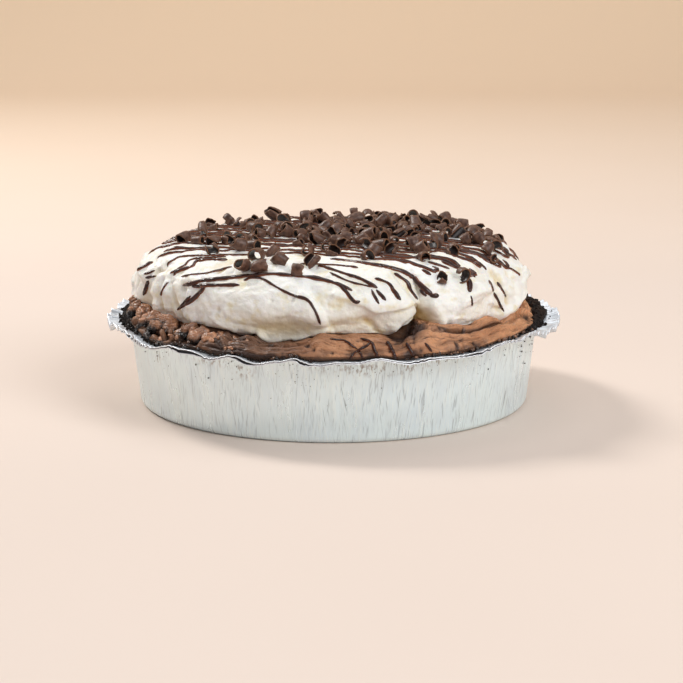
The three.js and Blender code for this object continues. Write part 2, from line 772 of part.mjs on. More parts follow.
const pie = new THREE.Group();
pie.add(piece("foil_tin", foilTin(), 0xd7dcde, 0.35, 1));
pie.add(piece("crumb_crust", crumbCrust(), 0x1e1412, 0.9));
pie.add(piece("chocolate_filling", chocolateFilling(), 0x8a5c42, 0.55));
pie.add(piece("whipped_cream", whippedCream(), 0xf5f3eb, 0.6));

export default pie;
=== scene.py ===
import math

import bmesh
import bpy
import numpy as np
from mathutils import Euler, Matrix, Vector
from mathutils.bvhtree import BVHTree


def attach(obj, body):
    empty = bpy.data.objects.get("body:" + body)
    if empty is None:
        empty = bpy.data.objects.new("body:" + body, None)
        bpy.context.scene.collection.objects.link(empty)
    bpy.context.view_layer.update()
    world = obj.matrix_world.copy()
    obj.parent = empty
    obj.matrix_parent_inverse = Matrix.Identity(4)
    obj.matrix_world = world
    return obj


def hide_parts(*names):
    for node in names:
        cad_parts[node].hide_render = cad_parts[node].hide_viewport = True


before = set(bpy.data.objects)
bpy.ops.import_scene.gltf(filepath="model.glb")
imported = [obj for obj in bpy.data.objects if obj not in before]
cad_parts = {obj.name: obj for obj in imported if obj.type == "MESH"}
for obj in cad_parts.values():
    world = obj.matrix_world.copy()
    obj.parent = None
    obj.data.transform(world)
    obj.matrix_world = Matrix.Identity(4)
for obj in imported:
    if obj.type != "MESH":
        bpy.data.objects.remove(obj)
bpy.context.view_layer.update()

# The looks of a chocolate cream pie in a foil tin. Sizes are in millimetres and angles in degrees,
# anticlockwise from +X, so 270 is the front; meshes are written in metres.
MM = 0.001
TURN = 2 * math.pi
# Radii at which the cream's side and the filling's ring are laid out flat.
SIDE, RING = 95.0, 104.0
# Millimetres along and across the filling's fibres for each unit of their attributes.
FIBRES = 100
# A height above the whole pie.
ABOVE = 120

# ---- Sizes of the solids, which every fine mesh keeps ----
GAP = 0.35
TIN = dict(foot=96.8, wall_foot=99.7, corner=3.0, wall_top=104.5, wall_height=41.8, rim=116.0,
           rim_height=42.6, crinkle=0.9, sheet=0.6)
CRUST = dict(inner=103.9, wander=0.5, left_inset=0.5, right_inset=3.2, floor=4.6, wall=5.4, ledge=41.6,
             overhang=1.8, side_overhang=1.7, least=1.3, ragged=0.2, side_ragged=0.4, crest=44.7,
             side_crest=1.0, lumps=0.15, side_lumps=0.5, lip_drop=1.2, rim_clearance=0.6,
             least_rise=0.5)
FILLING = dict(spread=9.0, side_share=1.7, lip_height=44.6, lip_thickness=1.1, rim_clearance=0.4,
               core_height=51.0, core_radius=78.0)
CREAM = dict(plateau_radius=70.0, plateau_height=82.0, middle_rise=2.0, shoulder=28.0, girth=58.0,
             undercut=14.0, bulge=2.25)

# Waves of the rim's edge: angle, rise, width in degrees.
RIM_WAVES = [(206, 2.6, 7), (220, -1.1, 4), (227.5, 2.3, 3), (233.5, -0.7, 3), (239.5, -1, 3),
             (245.5, 0.6, 2.6), (251.5, -2.1, 3.6), (261.3, 2.3, 2), (267.5, -1.2, 3), (276.5, -0.8, 3),
             (292.5, -0.9, 4.5), (309, 1.1, 5), (316, 0.7, 4), (326, 2.8, 8)]

# Height of the edge where the cream meets the filling: angle, height.
CREAM_EDGE = np.array([
    (0, 47.8), (40, 50.4), (75, 50), (110, 52.5), (145, 50.5), (180, 55.5), (200, 55), (206, 50),
    (213, 53), (219, 51.5), (224, 49.8), (229, 52.4), (240, 51.4), (243, 48.8), (248, 50.6),
    (252, 47.4), (259, 48.2), (264.5, 50.4), (266.5, 52.4), (272, 51.8), (281, 51.6), (286.5, 50.4),
    (290, 55), (294, 57.2), (298, 55), (303, 52.8), (309, 51.4), (317, 53.2), (325, 49.4),
    (331, 50.4), (338, 50.2), (342.5, 52), (348, 49.6), (360, 47.8)], float)

# Lobes of the cream: angle of the crown, angles to its two creases, how far it stands out, how
# deep it falls towards its ends, degrees that it leans for each millimetre up.
LOBES = [
    (189, 16, 15, 4.2, 7, 0), (210, 9, 7, 2.6, 6, 0.1), (220, 7, 7, 1.4, 5, 0.2),
    (247, 27, 22.5, 2.6, 8, -0.35), (277, 13, 9, -1.4, 3, -0.3), (288, 9, 7, -0.6, 5, -0.3),
    (311, 14.5, 15, 2, 7, 0), (333, 12, 14, 0.6, 6, 0.1), (357, 17, 15, 0.2, 5, -0.2),
    (22, 18, 14, 0.4, 4.5, 0.3), (47, 19, 15, 1.8, 5.5, 0), (75, 18, 20, 0, 4.5, -0.3),
    (104, 17, 17, 2, 6, 0.2), (131, 19, 15, 0.6, 4.5, 0.3), (158, 18, 18, 2.4, 5, -0.1)]
DEEPEST_CREASE = 6

# Scoops of the spatula in the cream's side: angle, height, width in degrees, height of the mark,
# depth (negative where it was pulled out).
SCOOPS = [
    (256, 55, 12, 5.5, 4.6), (264, 62, 7, 4, -1.4), (280, 57, 9, 5, 2.2), (282, 67, 10, 3.5, -1.2),
    (296.8, 55, 3.6, 9, 8), (324.5, 62, 3, 9, 3), (354, 69.5, 7, 3.5, 2.2), (354, 52, 7, 4, -1.2),
    (202, 60, 3.5, 8, 3), (87, 56, 9, 6, 3.4),
    (33, 60, 8, 6, 2.6), (143, 57, 8, 6, 3.6)]

# Relief of the filling's ring: angle, place from 0 at the cream to 1 at the lip, width in
# degrees, depth, reach along the ring's width.
FILLING_RELIEF = [
    (290.5, 0.15, 3, 8, 0.38), (312, 0.5, 16, 1.3, 0.13), (318, 0.27, 17, -1.2, 0.16),
    (349, 0.6, 5, -1.3, 0.3), (338, 0.7, 2.5, 1.6, 0.16), (263, 0.55, 8, -0.8, 0.3)]

# Chocolate curls: how many in the solid and how many smaller ones between, how far they sink into
# the cream and stand apart, how far out they are tried and the lowest cream under them.
CURLS = dict(count=80, extra=95, sink=1.0, apart=7.0, extra_apart=4.6,
             reach=88, lowest=74, tries=6000, extra_size=0.85)
# Curls that the front shows one by one.
FRONT_CURLS = [
    (-76, -8), (-68, 8), (-60, -21), (-59, -46), (-53, -19), (-46, -24), (-51, 43), (-40, -37),
    (-41, 6), (-32, -4), (-23, 3), (-37, -65), (-35, -80), (-43, -78), (-30, -53), (-25, -75),
    (-16, -86), (-13, -55), (-10, -78), (-10, -20), (0, -56), (5, -15), (6, -27), (14, -29),
    (20, -54), (29, -50), (34, -9), (39, -40), (43, -63), (51, -28), (58, -53), (64, 1),
    (74, -17), (81, -13), (52, -79), (61, -75)]

# The photograph's camera: its side in pixels, focal length in pixels, place in millimetres and
# angle down in radians.
FRAME = 683
CAMERA = dict(focal=1975.0, place=(4.0, -1000.0, 237.5), pitch=0.206)


# ---- Numbers and noise ----
def dice(seed):
    """A small random generator: the same seed always gives the same pie."""
    state = seed

    def roll():
        nonlocal state
        state = (state * 1664525 + 1013904223) & 0xFFFFFFFF
        return state / 4294967296
    return roll


def ripple(seed, orders):
    """A wave round the pie: one sine for each order, with seeded phases."""
    roll = dice(seed)
    phases = [roll() * TURN for _ in orders]
    share = 1 / math.sqrt(len(orders))

    def wave(angle):
        return sum(share * np.sin(o * np.radians(angle) + p) for o, p in zip(orders, phases))
    return wave


def between(angle, start):
    return (angle - start + 180) % 360 - 180


def hill(distance, width):
    return np.exp(-((distance / width) ** 2))


def ease(value):
    t = np.clip(value, 0, 1)
    return t * t * (3 - 2 * t)


def around(table, angle):
    turned = np.asarray(angle) % 360
    i = np.clip(np.searchsorted(table[:, 0], turned, side="right") - 1, 0, len(table) - 2)
    start, low = table[i, 0], table[i, 1]
    end, high = table[i + 1, 0], table[i + 1, 1]
    return low + (high - low) * ease((turned - start) / (end - start))


def lattice(ix, iy, iz, seed):
    """A random number from -1 to 1 for each whole point of space."""
    h = (ix * 374761393 + iy * 668265263 + iz * 1274126177 + seed * 974634777) & 0xFFFFFFFF
    h = ((h ^ (h >> 13)) * 1103515245) & 0xFFFFFFFF
    return ((h ^ (h >> 16)) & 0xFFFF) / 32767.5 - 1


def noise(x, y, z, seed):
    """Smooth noise from -1 to 1 with features one unit wide."""
    x, y, z = np.broadcast_arrays(x, y, z)
    cell = [np.floor(v).astype(np.int64) for v in (x, y, z)]
    fx, fy, fz = (ease(v - c) for v, c in zip((x, y, z), cell))
    total = 0
    for corner in range(8):
        dx, dy, dz = corner & 1, corner >> 1 & 1, corner >> 2 & 1
        weight = (fx if dx else 1 - fx) * (fy if dy else 1 - fy) * (fz if dz else 1 - fz)
        total = total + weight * lattice(cell[0] + dx, cell[1] + dy, cell[2] + dz, seed)
    return total


def noise_at(points, size, seed, octaves=1):
    """Noise at points, with features of a size in millimetres, one number or three."""
    total, weight, scale = 0, 0, np.asarray(size, float) * np.ones(3)
    for octave in range(octaves):
        share = 0.5 ** octave
        p = points / scale * 2 ** octave
        total = total + share * noise(p[..., 0], p[..., 1], p[..., 2], seed + octave)
        weight += share
    return total / weight


# ---- Meshes ----
def make_object(name, points, faces, values=None, smooth=True):
    """A mesh object from points in millimetres, with named numbers on its points."""
    mesh = bpy.data.meshes.new(name)
    mesh.from_pydata((np.asarray(points) * MM).tolist(), [], faces)
    for key, numbers in (values or {}).items():
        layer = mesh.attributes.new(key, "FLOAT", "POINT")
        layer.data.foreach_set("value", np.asarray(numbers, np.float32).ravel())
    mesh.polygons.foreach_set("use_smooth", [smooth] * len(mesh.polygons))
    mesh.update()
    made = bpy.data.objects.new(name, mesh)
    bpy.context.collection.objects.link(made)
    return made


def stack(parts):
    """Many parts as one: their points, faces and named numbers. Each part has the same three."""
    points, faces, values, base = [], [], {}, 0
    for its_points, its_faces, its_values in parts:
        points.append(its_points)
        faces += [tuple(base + i for i in face) for face in its_faces]
        for key, numbers in its_values.items():
            values.setdefault(key, []).append(numbers)
        base += len(its_points)
    return np.vstack(points), faces, {key: np.concatenate(some) for key, some in values.items()}


def ball_of(fine):
    """Points and triangles of a round ball."""
    ball = bmesh.new()
    bmesh.ops.create_icosphere(ball, subdivisions=fine, radius=1)
    points = np.array([v.co for v in ball.verts])
    triangles = [tuple(v.index for v in f.verts) for f in ball.faces]
    ball.free()
    return points, triangles


def any_turn(rng):
    """A turn any way round, for rows of points."""
    return np.array(Euler(rng.uniform(0, TURN, 3)).to_matrix()).T


def ring_faces(rows, columns):
    """Quads between rows of a grid that closes round the axis, and a fan at each end."""
    faces = []
    for r in range(rows - 1):
        a, b = r * columns, (r + 1) * columns
        for i in range(columns):
            j = (i + 1) % columns
            faces.append((a + i, a + j, b + j, b + i))
    first, last, end = rows * columns, rows * columns + 1, (rows - 1) * columns
    for i in range(columns):
        j = (i + 1) % columns
        faces.append((first, j, i))
        faces.append((last, end + i, end + j))
    return faces


def ring_object(name, grid, values=None):
    """Closes a grid (rows, columns, 3) round the axis and fills both ends."""
    rows, columns, _ = grid.shape
    ends = [grid[0].mean(axis=0), grid[-1].mean(axis=0)]
    points = np.vstack([grid.reshape(-1, 3), ends])
    full = {k: np.append(np.ravel(v), [v[0].mean(), v[-1].mean()]) for k, v in (values or {}).items()}
    return make_object(name, points, ring_faces(rows, columns), full)


def polar(radius, angle, height):
    turn = np.radians(angle)
    radius, turn, height = np.broadcast_arrays(radius, turn, height)
    return np.stack([radius * np.cos(turn), radius * np.sin(turn), height], axis=-1)


def grid_normals(grid):
    sideways = np.roll(grid, -1, axis=1) - np.roll(grid, 1, axis=1)
    upward = np.gradient(grid, axis=0)
    normal = np.cross(sideways, upward)
    return normal / np.maximum(np.linalg.norm(normal, axis=-1, keepdims=True), 1e-9)


def angles_of(columns):
    return np.arange(columns) * 360 / columns


def tree_of(made):
    """A search tree over an object's faces, in millimetres."""
    points = [v.co / MM for v in made.data.vertices]
    return BVHTree.FromPolygons(points, [tuple(p.vertices) for p in made.data.polygons])


# ---- Forms shared by the pieces ----
crinkle_wave = ripple(11, [9, 17, 23, 31])
crumb_wave = ripple(23, [7, 13, 19, 29, 37])
lip_wave = ripple(37, [5, 8, 13])
swell_wave = ripple(71, [2, 3, 5])


def sideways(angle):
    """1 at the left and right of the pie, 0 at its front and back."""
    return np.abs(np.cos(np.radians(angle))) ** 6


def rim_wave(angle):
    waves = sum(up * hill(between(angle, at), wide) for at, up, wide in RIM_WAVES)
    return waves + TIN["crinkle"] * crinkle_wave(angle)


def rim_height(radius, angle):
    out = np.maximum(0, (radius - TIN["wall_top"]) / (TIN["rim"] - TIN["wall_top"]))
    return TIN["rim_height"] + rim_wave(angle) * out


def crust_outer(angle):
    side = sideways(angle)
    ragged = (CRUST["ragged"] + CRUST["side_ragged"] * side) * crumb_wave(angle)
    spread = CRUST["overhang"] + CRUST["side_overhang"] * side + ragged
    return TIN["wall_top"] + np.maximum(CRUST["least"], spread)


def crust_crest(angle):
    side = sideways(angle)
    lumps = (CRUST["lumps"] + CRUST["side_lumps"] * side) * crumb_wave(angle + 3)
    least = rim_height(crust_outer(angle), angle) + GAP + CRUST["rim_clearance"] + CRUST["least_rise"]
    return np.maximum(CRUST["crest"] + CRUST["side_crest"] * side + lumps, least)


def crust_inner(angle):
    inset = np.where(np.cos(np.radians(angle)) > 0, CRUST["right_inset"], CRUST["left_inset"])
    return CRUST["inner"] + CRUST["wander"] * lip_wave(angle) - inset * sideways(angle)


def filling_lip(angle):
    """The filling's outer edge: inside the crumbs at the sides, over them at the front and back."""
    spread = FILLING["spread"] * (1 - sideways(angle) ** FILLING["side_share"])
    return crust_inner(angle) - GAP - 0.1 + spread


def filling_underside(angle):
    """Height of the underside of the filling's lip, which droops over the crumbs where it is wide."""
    lip = filling_lip(angle)
    droop = ease((lip - crust_outer(angle) - 1) / 4)
    low = rim_height(lip, angle) + GAP + FILLING["rim_clearance"]
    return crust_crest(angle) + 2 * GAP + (low - crust_crest(angle) - 2 * GAP) * droop


def lobe_reach(angle, height):
    reach = np.full(np.broadcast(angle, height).shape, -float(DEEPEST_CREASE))
    for at, left, right, out, drop, lean in LOBES:
        off = between(angle, at + lean * (height - CREAM["girth"]))
        share = np.minimum(1, np.where(off < 0, -off / left, off / right))
        reach = np.maximum(reach, np.where(share < 1, out - drop * (1 - np.cbrt(1 - share ** 3)), -9))
    return reach


def scoop_depth(angle, height):
    return sum(deep * hill(between(angle, at), wide) * hill(height - level, tall)
               for at, level, wide, tall, deep in SCOOPS)


def side_radius(angle, height):
    """Radius of the cream's side at a height."""
    low = height < CREAM["girth"]
    span = np.where(low, CREAM["undercut"], CREAM["plateau_height"] - CREAM["girth"])
    rise = np.minimum(1, np.abs(height - CREAM["girth"]) / span)
    rounded = (1 - rise ** CREAM["bulge"]) ** (1 / CREAM["bulge"])
    reach = CREAM["shoulder"] + lobe_reach(angle, height) - scoop_depth(angle, height)
    return CREAM["plateau_radius"] + reach * rounded


def cream_edge_height(angle):
    return around(CREAM_EDGE, angle)


def cream_edge_radius(angle):
    return side_radius(angle, cream_edge_height(angle)) - 0.8


def plateau_height(radius, angle):
    share = np.minimum(1, radius / CREAM["plateau_radius"])
    return (CREAM["plateau_height"] + CREAM["middle_rise"] * (1 - share * share)
            + 0.5 * swell_wave(angle) * share * (1 - share))


def cream_top(x, y):
    """Height of the cream's smooth top seen from above, or None outside its widest place."""
    radius, angle = math.hypot(x, y), math.degrees(math.atan2(y, x))
    if radius <= CREAM["plateau_radius"]:
        return float(plateau_height(radius, angle))
    low, high = CREAM["girth"] + 4, CREAM["plateau_height"]
    if radius > side_radius(angle, low):
        return None
    for _ in range(24):
        middle = (low + high) / 2
        if side_radius(angle, middle) > radius:
            low = middle
        else:
            high = middle
    return low


# ---- Materials ----
# Streaks of the pressed foil, with painted shade along them: features for each metre across and up, how
# far they lean sideways, the noise below which they show and show fully, how dark the painted shade is.
FOIL_STREAKS = [(1350, 85, 0.10, 0.41, 0.33, 0.4), (1000, 70, -0.16, 0.37, 0.3, 0.42),
                (520, 48, 0.03, 0.33, 0.27, 0.4)]
# Colours, each with the light that it reflects in red, green and blue.
# The foil's colours lean cool: a painted reflection of cool white surroundings, offsetting the warm
# floor and wall that it reflects.
FOIL = dict(plain=(0.79, 0.89, 0.985), bright=(0.85, 0.975, 1.0), dull=(0.79, 0.91, 0.97),
            rim=(0.87, 0.9, 0.94), glint=(0.9, 1.0, 1.0), streak=(0.2, 0.21, 0.23),
            crease_shade=(0.04, 0.04, 0.045), stain=(0.2, 0.11, 0.065))
CRUMBS = dict(plain=(0.012, 0.007, 0.006), dark=(0.0035, 0.002, 0.0018), light=(0.021, 0.0105, 0.007))
# The darkest colours are painted shade, and also some torn lumps' darker tone; the grooves' colour is
# painted shade.
MOUSSE = dict(dark=(0.5, 0.22, 0.1), light=(0.8, 0.39, 0.195), deepest=(0.05, 0.018, 0.008),
              fleck=(0.11, 0.042, 0.018), groove=(0.17, 0.065, 0.026))
TORN = dict(MOUSSE, dark=(0.34, 0.145, 0.068), light=(0.9, 0.455, 0.255),
            deepest=(0.012, 0.004, 0.0025))
# The cream's last colour is painted shade, a darker yellow for its folds, scoops and dents.
WHIPPED = dict(plain=(0.9, 0.88, 0.82), white=(0.915, 0.9, 0.86), warm=(0.87, 0.83, 0.73),
               spot=(0.8, 0.71, 0.48), hollow=(0.7, 0.53, 0.27))
CHOCOLATE = dict(plain=(0.04, 0.012, 0.008), dark=(0.022, 0.007, 0.005), light=(0.05, 0.014, 0.008),
                 thin=(0.23, 0.065, 0.022))
# The inside colour is painted shade inside the roll, and the edge colour a painted highlight along the
# edges.
CURL = dict(plain=(0.06, 0.03, 0.022), dark=(0.055, 0.022, 0.013), paler=(0.165, 0.08, 0.05),
            inside=(0.016, 0.006, 0.004), edge=(0.2, 0.088, 0.042))
FLOOR = dict(plain=(0.8, 0.7, 0.6), pale=(0.75, 0.63, 0.55), soft=(0.73, 0.61, 0.53),
             back=(0.95, 0.73, 0.52))


class Look:
    """A new material, with the nodes that feed its main shader."""

    def __init__(self, name, colour, roughness, **sockets):
        self.made = bpy.data.materials.new(name)
        self.made.use_nodes = True
        self.nodes, self.links = self.made.node_tree.nodes, self.made.node_tree.links
        self.main = self.nodes["Principled BSDF"].inputs
        self.main["Base Color"].default_value = (*colour, 1)
        self.main["Roughness"].default_value = roughness
        for key, value in sockets.items():
            self.main[key.replace("_", " ")].default_value = value

    def node(self, kind, *sockets, result=0, **settings):
        """Adds a node. sockets: an input and what goes in, a value or a socket of another node."""
        made = self.nodes.new("ShaderNode" + kind)
        for key, value in settings.items():
            setattr(made, key, value)
        for key, value in sockets:
            if isinstance(value, bpy.types.NodeSocket):
                self.links.new(value, made.inputs[key])
            elif value is not None:
                made.inputs[key].default_value = value
        return made.outputs[result]

    def feed(self, name, source):
        self.links.new(source, self.main[name])

    def place(self):
        return self.node("TexCoord", result="Object")

    def value(self, name):
        return self.node("Attribute", result="Fac", attribute_name=name)

    def noise(self, scale, detail=3.0, stretch=(1, 1, 1), place=None):
        """Noise in the object's own space; scale is in features for each metre."""
        spread = self.node("Mapping", ("Vector", place or self.place()), ("Scale", stretch))
        return self.node("TexNoise", ("Vector", spread), ("Scale", scale), ("Detail", detail),
                         result="Fac")

    def range(self, source, low, high, to_low=0.0, to_high=1.0):
        return self.node("MapRange", ("Value", source), ("From Min", low), ("From Max", high),
                         ("To Min", to_low), ("To Max", to_high))

    def noise_range(self, scale, detail, low, high, to_low=0.0, to_high=1.0, stretch=(1, 1, 1)):
        return self.range(self.noise(scale, detail, stretch), low, high, to_low, to_high)

    def mix(self, factor, first, second):
        """Mixes two colours, each a colour or a socket."""
        pair = [(*c, 1) if isinstance(c, tuple) else c for c in (first, second)]
        return self.node("Mix", (0, factor), (6, pair[0]), (7, pair[1]), result=2, data_type="RGBA")

    def times(self, first, second):
        return self.node("Math", (0, first), (1, second), operation="MULTIPLY")

    def vector(self, operation, first, second=None):
        return self.node("VectorMath", (0, first), (1, second), operation=operation)

    def bump(self, height, strength, distance):
        before = self.main["Normal"].links
        under = before[0].from_socket if before else None
        self.feed("Normal", self.node("Bump", ("Height", height), ("Strength", strength),
                                      ("Distance", distance), ("Normal", under)))

    def upright(self, across, along, slant):
        """Noise in streaks that run up the tin's wall; across and along are in features for each
        metre. slant: how far a streak leans sideways for each metre up."""
        place = self.place()
        outward = self.vector("NORMALIZE", self.vector("MULTIPLY", place, (1, 1, 0)))
        reach = across * TIN["wall_top"] * MM
        turned = self.vector("MULTIPLY", outward, (reach, reach, 0))
        upward = self.vector("MULTIPLY", place, (0, 0, across * slant))
        turned = self.vector("ADD", turned, self.vector("CROSS_PRODUCT", outward, upward))
        height = self.vector("MULTIPLY", place, (0, 0, along))
        return self.node("TexNoise", ("Vector", self.vector("ADD", turned, height)), ("Scale", 1),
                         ("Detail", 2), result="Fac")


def foil_material():
    look = Look("foil", FOIL["plain"], 0.3, Metallic=1.0)
    smear = look.noise_range(60, 4, 0.4, 0.75, stretch=(1, 1, 0.35))
    tint = look.mix(smear, FOIL["bright"], FOIL["dull"])
    wall = look.value("wall")
    tint = look.mix(wall, FOIL["rim"], tint)
    here = look.times(wall, look.noise_range(30, 2, 0.32, 0.6, 0.35, 1.0, stretch=(1, 1, 0.6)))
    layers = []
    for across, along, slant, edge, full, amount in FOIL_STREAKS:
        streak = look.upright(across, along, slant)
        depth = look.range(streak, full, edge, amount, 0.0)
        # Painted shade: each streak darkens the foil along its wrinkle.
        tint = look.mix(look.times(depth, here), tint, FOIL["streak"])
        layers.append(streak)
    for streak in layers[:2]:
        glint = look.times(look.range(streak, 0.58, 0.68, 0.0, 0.8), here)
        tint = look.mix(glint, tint, FOIL["glint"])
    # Painted shadow: near black in the rolled edge's slit and in the low folds of the flange.
    tint = look.mix(look.value("crease_shade"), tint, FOIL["crease_shade"])
    brown = look.noise_range(700, 4, 0.5, 0.66, 0.0, 0.9, stretch=(1, 1, 0.5))
    look.feed("Base Color", look.mix(look.times(look.value("stain"), brown), tint, FOIL["stain"]))
    look.feed("Metallic", look.range(wall, 0.0, 1.0, 0.55, 0.5))
    look.feed("Roughness", look.noise_range(130, 3, 0.3, 0.7, 0.24, 0.44, stretch=(1, 1, 0.2)))
    for layer, strength, distance in ((2, 0.4, 0.0007), (0, 0.5, 0.0004), (1, 0.4, 0.0004)):
        look.bump(layers[layer], strength, distance)
    return look.made


def crumb_material():
    look = Look("crumbs", CRUMBS["plain"], 0.7, Specular_IOR_Level=0.22)
    look.feed("Base Color", look.mix(look.value("tone"), CRUMBS["dark"], CRUMBS["light"]))
    look.bump(look.noise(1500, 4), 0.6, 0.0006)
    return look.made


def filling_material(name, colours, rough, bump, moisture):
    """Airy chocolate cream. rough: the lowest and highest roughness; moisture: how wet it shines."""
    look = Look(name, colours["light"], 0.5, Subsurface_Weight=0.1, Subsurface_Scale=0.002,
                Subsurface_Radius=(1.0, 0.5, 0.3), Coat_Weight=moisture, Coat_Roughness=0.22)
    tint = look.mix(look.noise_range(70, 4, 0.35, 0.68), colours["dark"], colours["light"])
    tint = look.mix(look.noise_range(620, 3, 0.6, 0.72, 0.0, 0.4), tint, colours["fleck"])
    look.feed("Roughness", look.noise_range(260, 2, 0.3, 0.7, *rough))
    sweep = look.node("CombineXYZ", ("X", look.value("run")), ("Y", look.value("cross")))
    fibres = look.noise(75, 5, (0.16, 1.5, 1), sweep)
    # Painted shade in the grooves between the fibres.
    tint = look.mix(look.range(fibres, 0.36, 0.5, 0.45, 0.0), tint, colours["groove"])
    # Painted shade, and in the torn lumps also their own darker tone.
    look.feed("Base Color", look.mix(look.value("hollow"), tint, colours["deepest"]))
    look.bump(fibres, 0.85, 0.0018)
    look.bump(look.noise(700, 4), bump, 0.0007)
    return look.made


def cream_material():
    look = Look("cream", WHIPPED["plain"], 0.45, Subsurface_Weight=0.16, Subsurface_Scale=0.0018,
                Subsurface_Radius=(1.0, 0.75, 0.45))
    tint = look.mix(look.noise_range(55, 3, 0.4, 0.75), WHIPPED["white"], WHIPPED["warm"])
    tint = look.mix(look.noise_range(150, 3, 0.56, 0.7, 0.0, 0.8), tint, WHIPPED["spot"])
    # Painted shade: a darker yellow in the cream's folds, scoops and dents.
    look.feed("Base Color", look.mix(look.value("hollow"), tint, WHIPPED["hollow"]))
    look.feed("Roughness", look.noise_range(180, 2, 0.3, 0.7, 0.36, 0.55))
    look.bump(look.noise(420, 4), 0.6, 0.0008)
    look.bump(look.noise(1100, 2), 0.3, 0.0004)
    return look.made


def line_material():
    look = Look("chocolate_line", CHOCOLATE["plain"], 0.27, Coat_Weight=0.12, Coat_Roughness=0.12,
                Specular_IOR_Level=0.4)
    tint = look.mix(look.noise_range(240, 2, 0.35, 0.7), CHOCOLATE["dark"], CHOCOLATE["light"])
    thin = look.range(look.value("thin"), 0.62, 0.98)
    look.feed("Base Color", look.mix(thin, tint, CHOCOLATE["thin"]))
    look.bump(look.noise(600, 2), 0.15, 0.0004)
    return look.made


def curl_material():
    look = Look("chocolate_curl", CURL["plain"], 0.42, Specular_IOR_Level=0.4)
    # Lighter brown in random patches over the chocolate.
    tint = look.mix(look.noise_range(500, 3, 0.35, 0.7), CURL["dark"], CURL["paler"])
    # Painted shade: the inner face of each roll is darker.
    tint = look.mix(look.value("inside"), tint, CURL["inside"])
    # Painted highlight: a lighter warm brown along the strip's edges, where thin chocolate lets light
    # through.
    edge = look.range(look.value("edge"), 0.45, 1.0, 0.0, 0.8)
    look.feed("Base Color", look.mix(edge, tint, CURL["edge"]))
    look.bump(look.noise(1600, 3), 0.35, 0.0003)
    return look.made


def floor_material():
    look = Look("floor", FLOOR["plain"], 0.8)
    tint = look.mix(look.noise_range(3, 2, 0.3, 0.7), FLOOR["pale"], FLOOR["soft"])
    place = look.node("SeparateXYZ", ("Vector", look.place()), result="Y")
    look.feed("Base Color", look.mix(look.range(place, 0.3, 2.3), tint, FLOOR["back"]))
    return look.made


# ---- Folds ----
def fold_depth(across, up, path, height, left, right, fade=3.0):
    """Relief of a fold along a path. left and right: its widths on the two sides of the path's
    direction, in millimetres; a narrow side makes a sharp edge."""
    best = np.full(across.shape, 1e9)
    side = np.zeros(across.shape)
    run = np.zeros(across.shape)
    total = sum(math.dist(a, b) for a, b in zip(path, path[1:]))
    gone = 0.0
    for (ax, ay), (bx, by) in zip(path, path[1:]):
        length = math.hypot(bx - ax, by - ay)
        ux, uy = (bx - ax) / length, (by - ay) / length
        along = np.clip((across - ax) * ux + (up - ay) * uy, 0, length)
        dx, dy = across - ax - along * ux, up - ay - along * uy
        distance = np.hypot(dx, dy)
        nearer = distance < best
        best = np.where(nearer, distance, best)
        side = np.where(nearer, ux * dy - uy * dx, side)
        run = np.where(nearer, gone + along, run)
        gone += length
    wide = np.where(side > 0, left, right)
    ends = ease(run / fade + 0.15) * ease((total - run) / fade + 0.15)
    return height * ends * hill(best, wide)


def unrolled(angle, start, radius=SIDE):
    """Millimetres along the cream's side from an angle."""
    return np.radians(between(angle, start)) * radius


def side_path(path, start, radius=SIDE):
    return [(math.radians(between(a, start)) * radius, z) for a, z in path]


def folded(folds, angle, up, radius=SIDE):
    """Relief of many folds together, where up is a height or a distance across."""
    relief = np.zeros(up.shape)
    for path, tall, left, right in folds:
        start = path[0][0]
        across = unrolled(angle, start, radius) + 0 * up
        relief = relief + fold_depth(across, up, side_path(path, start, radius), tall, left, right)
    return relief


# Folds of the cream's side at the front: path of angle and height, height of the fold, widths to
# the left and right of the path's direction. A path that runs anticlockwise has its upper side left.
SIDE_FOLDS = [
    ([(269, 52), (268, 57.3), (266.8, 61.5), (265.4, 65.6), (263.4, 69.1), (260, 72)], 2.7, 7, 0.8),
    ([(269, 70.2), (274.6, 67.8), (278.7, 65.9), (281.7, 63), (289.6, 64), (294.7, 65.4), (297.4, 67)],
     1.9, 5, 0.8),
    ([(277.6, 60), (280.3, 57), (282.9, 51)], -1.3, 1.5, 1.2),
    ([(248, 52.6), (251.7, 49), (258, 49), (264, 50.5)], 2.2, 1.0, 3),
    ([(299.3, 67), (301.2, 60), (303.2, 53)], 2.0, 0.8, 5),
    ([(286.8, 52), (290, 57.5), (294.5, 61.3), (297.4, 66)], 1.7, 4.5, 0.8),
    ([(328.3, 75.9), (327.9, 68.8), (331.5, 55)], -2.2, 1.6, 2.6),
    ([(335, 74), (337, 66), (336, 58)], -1.6, 1.2, 2.4),
    ([(204.6, 74), (204.8, 65.5), (203.5, 56)], -2.0, 2.4, 1.2),
    ([(212, 72), (212.5, 62), (214, 53)], -1.8, 1.2, 2.2),
    ([(214, 73), (219, 64), (222, 56), (224.5, 50)], -1.6, 1.4, 2.4),
    ([(226, 74), (225, 66), (226.5, 58)], 1.2, 2.5, 1.0),
    ([(193, 75), (196, 66), (194, 57)], -1.6, 1.4, 2.2),
    ([(234, 58), (238, 54), (243, 51)], 1.0, 2.5, 0.8),
    ([(305, 71), (311, 67), (318, 66), (324, 68)], 0.8, 3, 1.2),
]


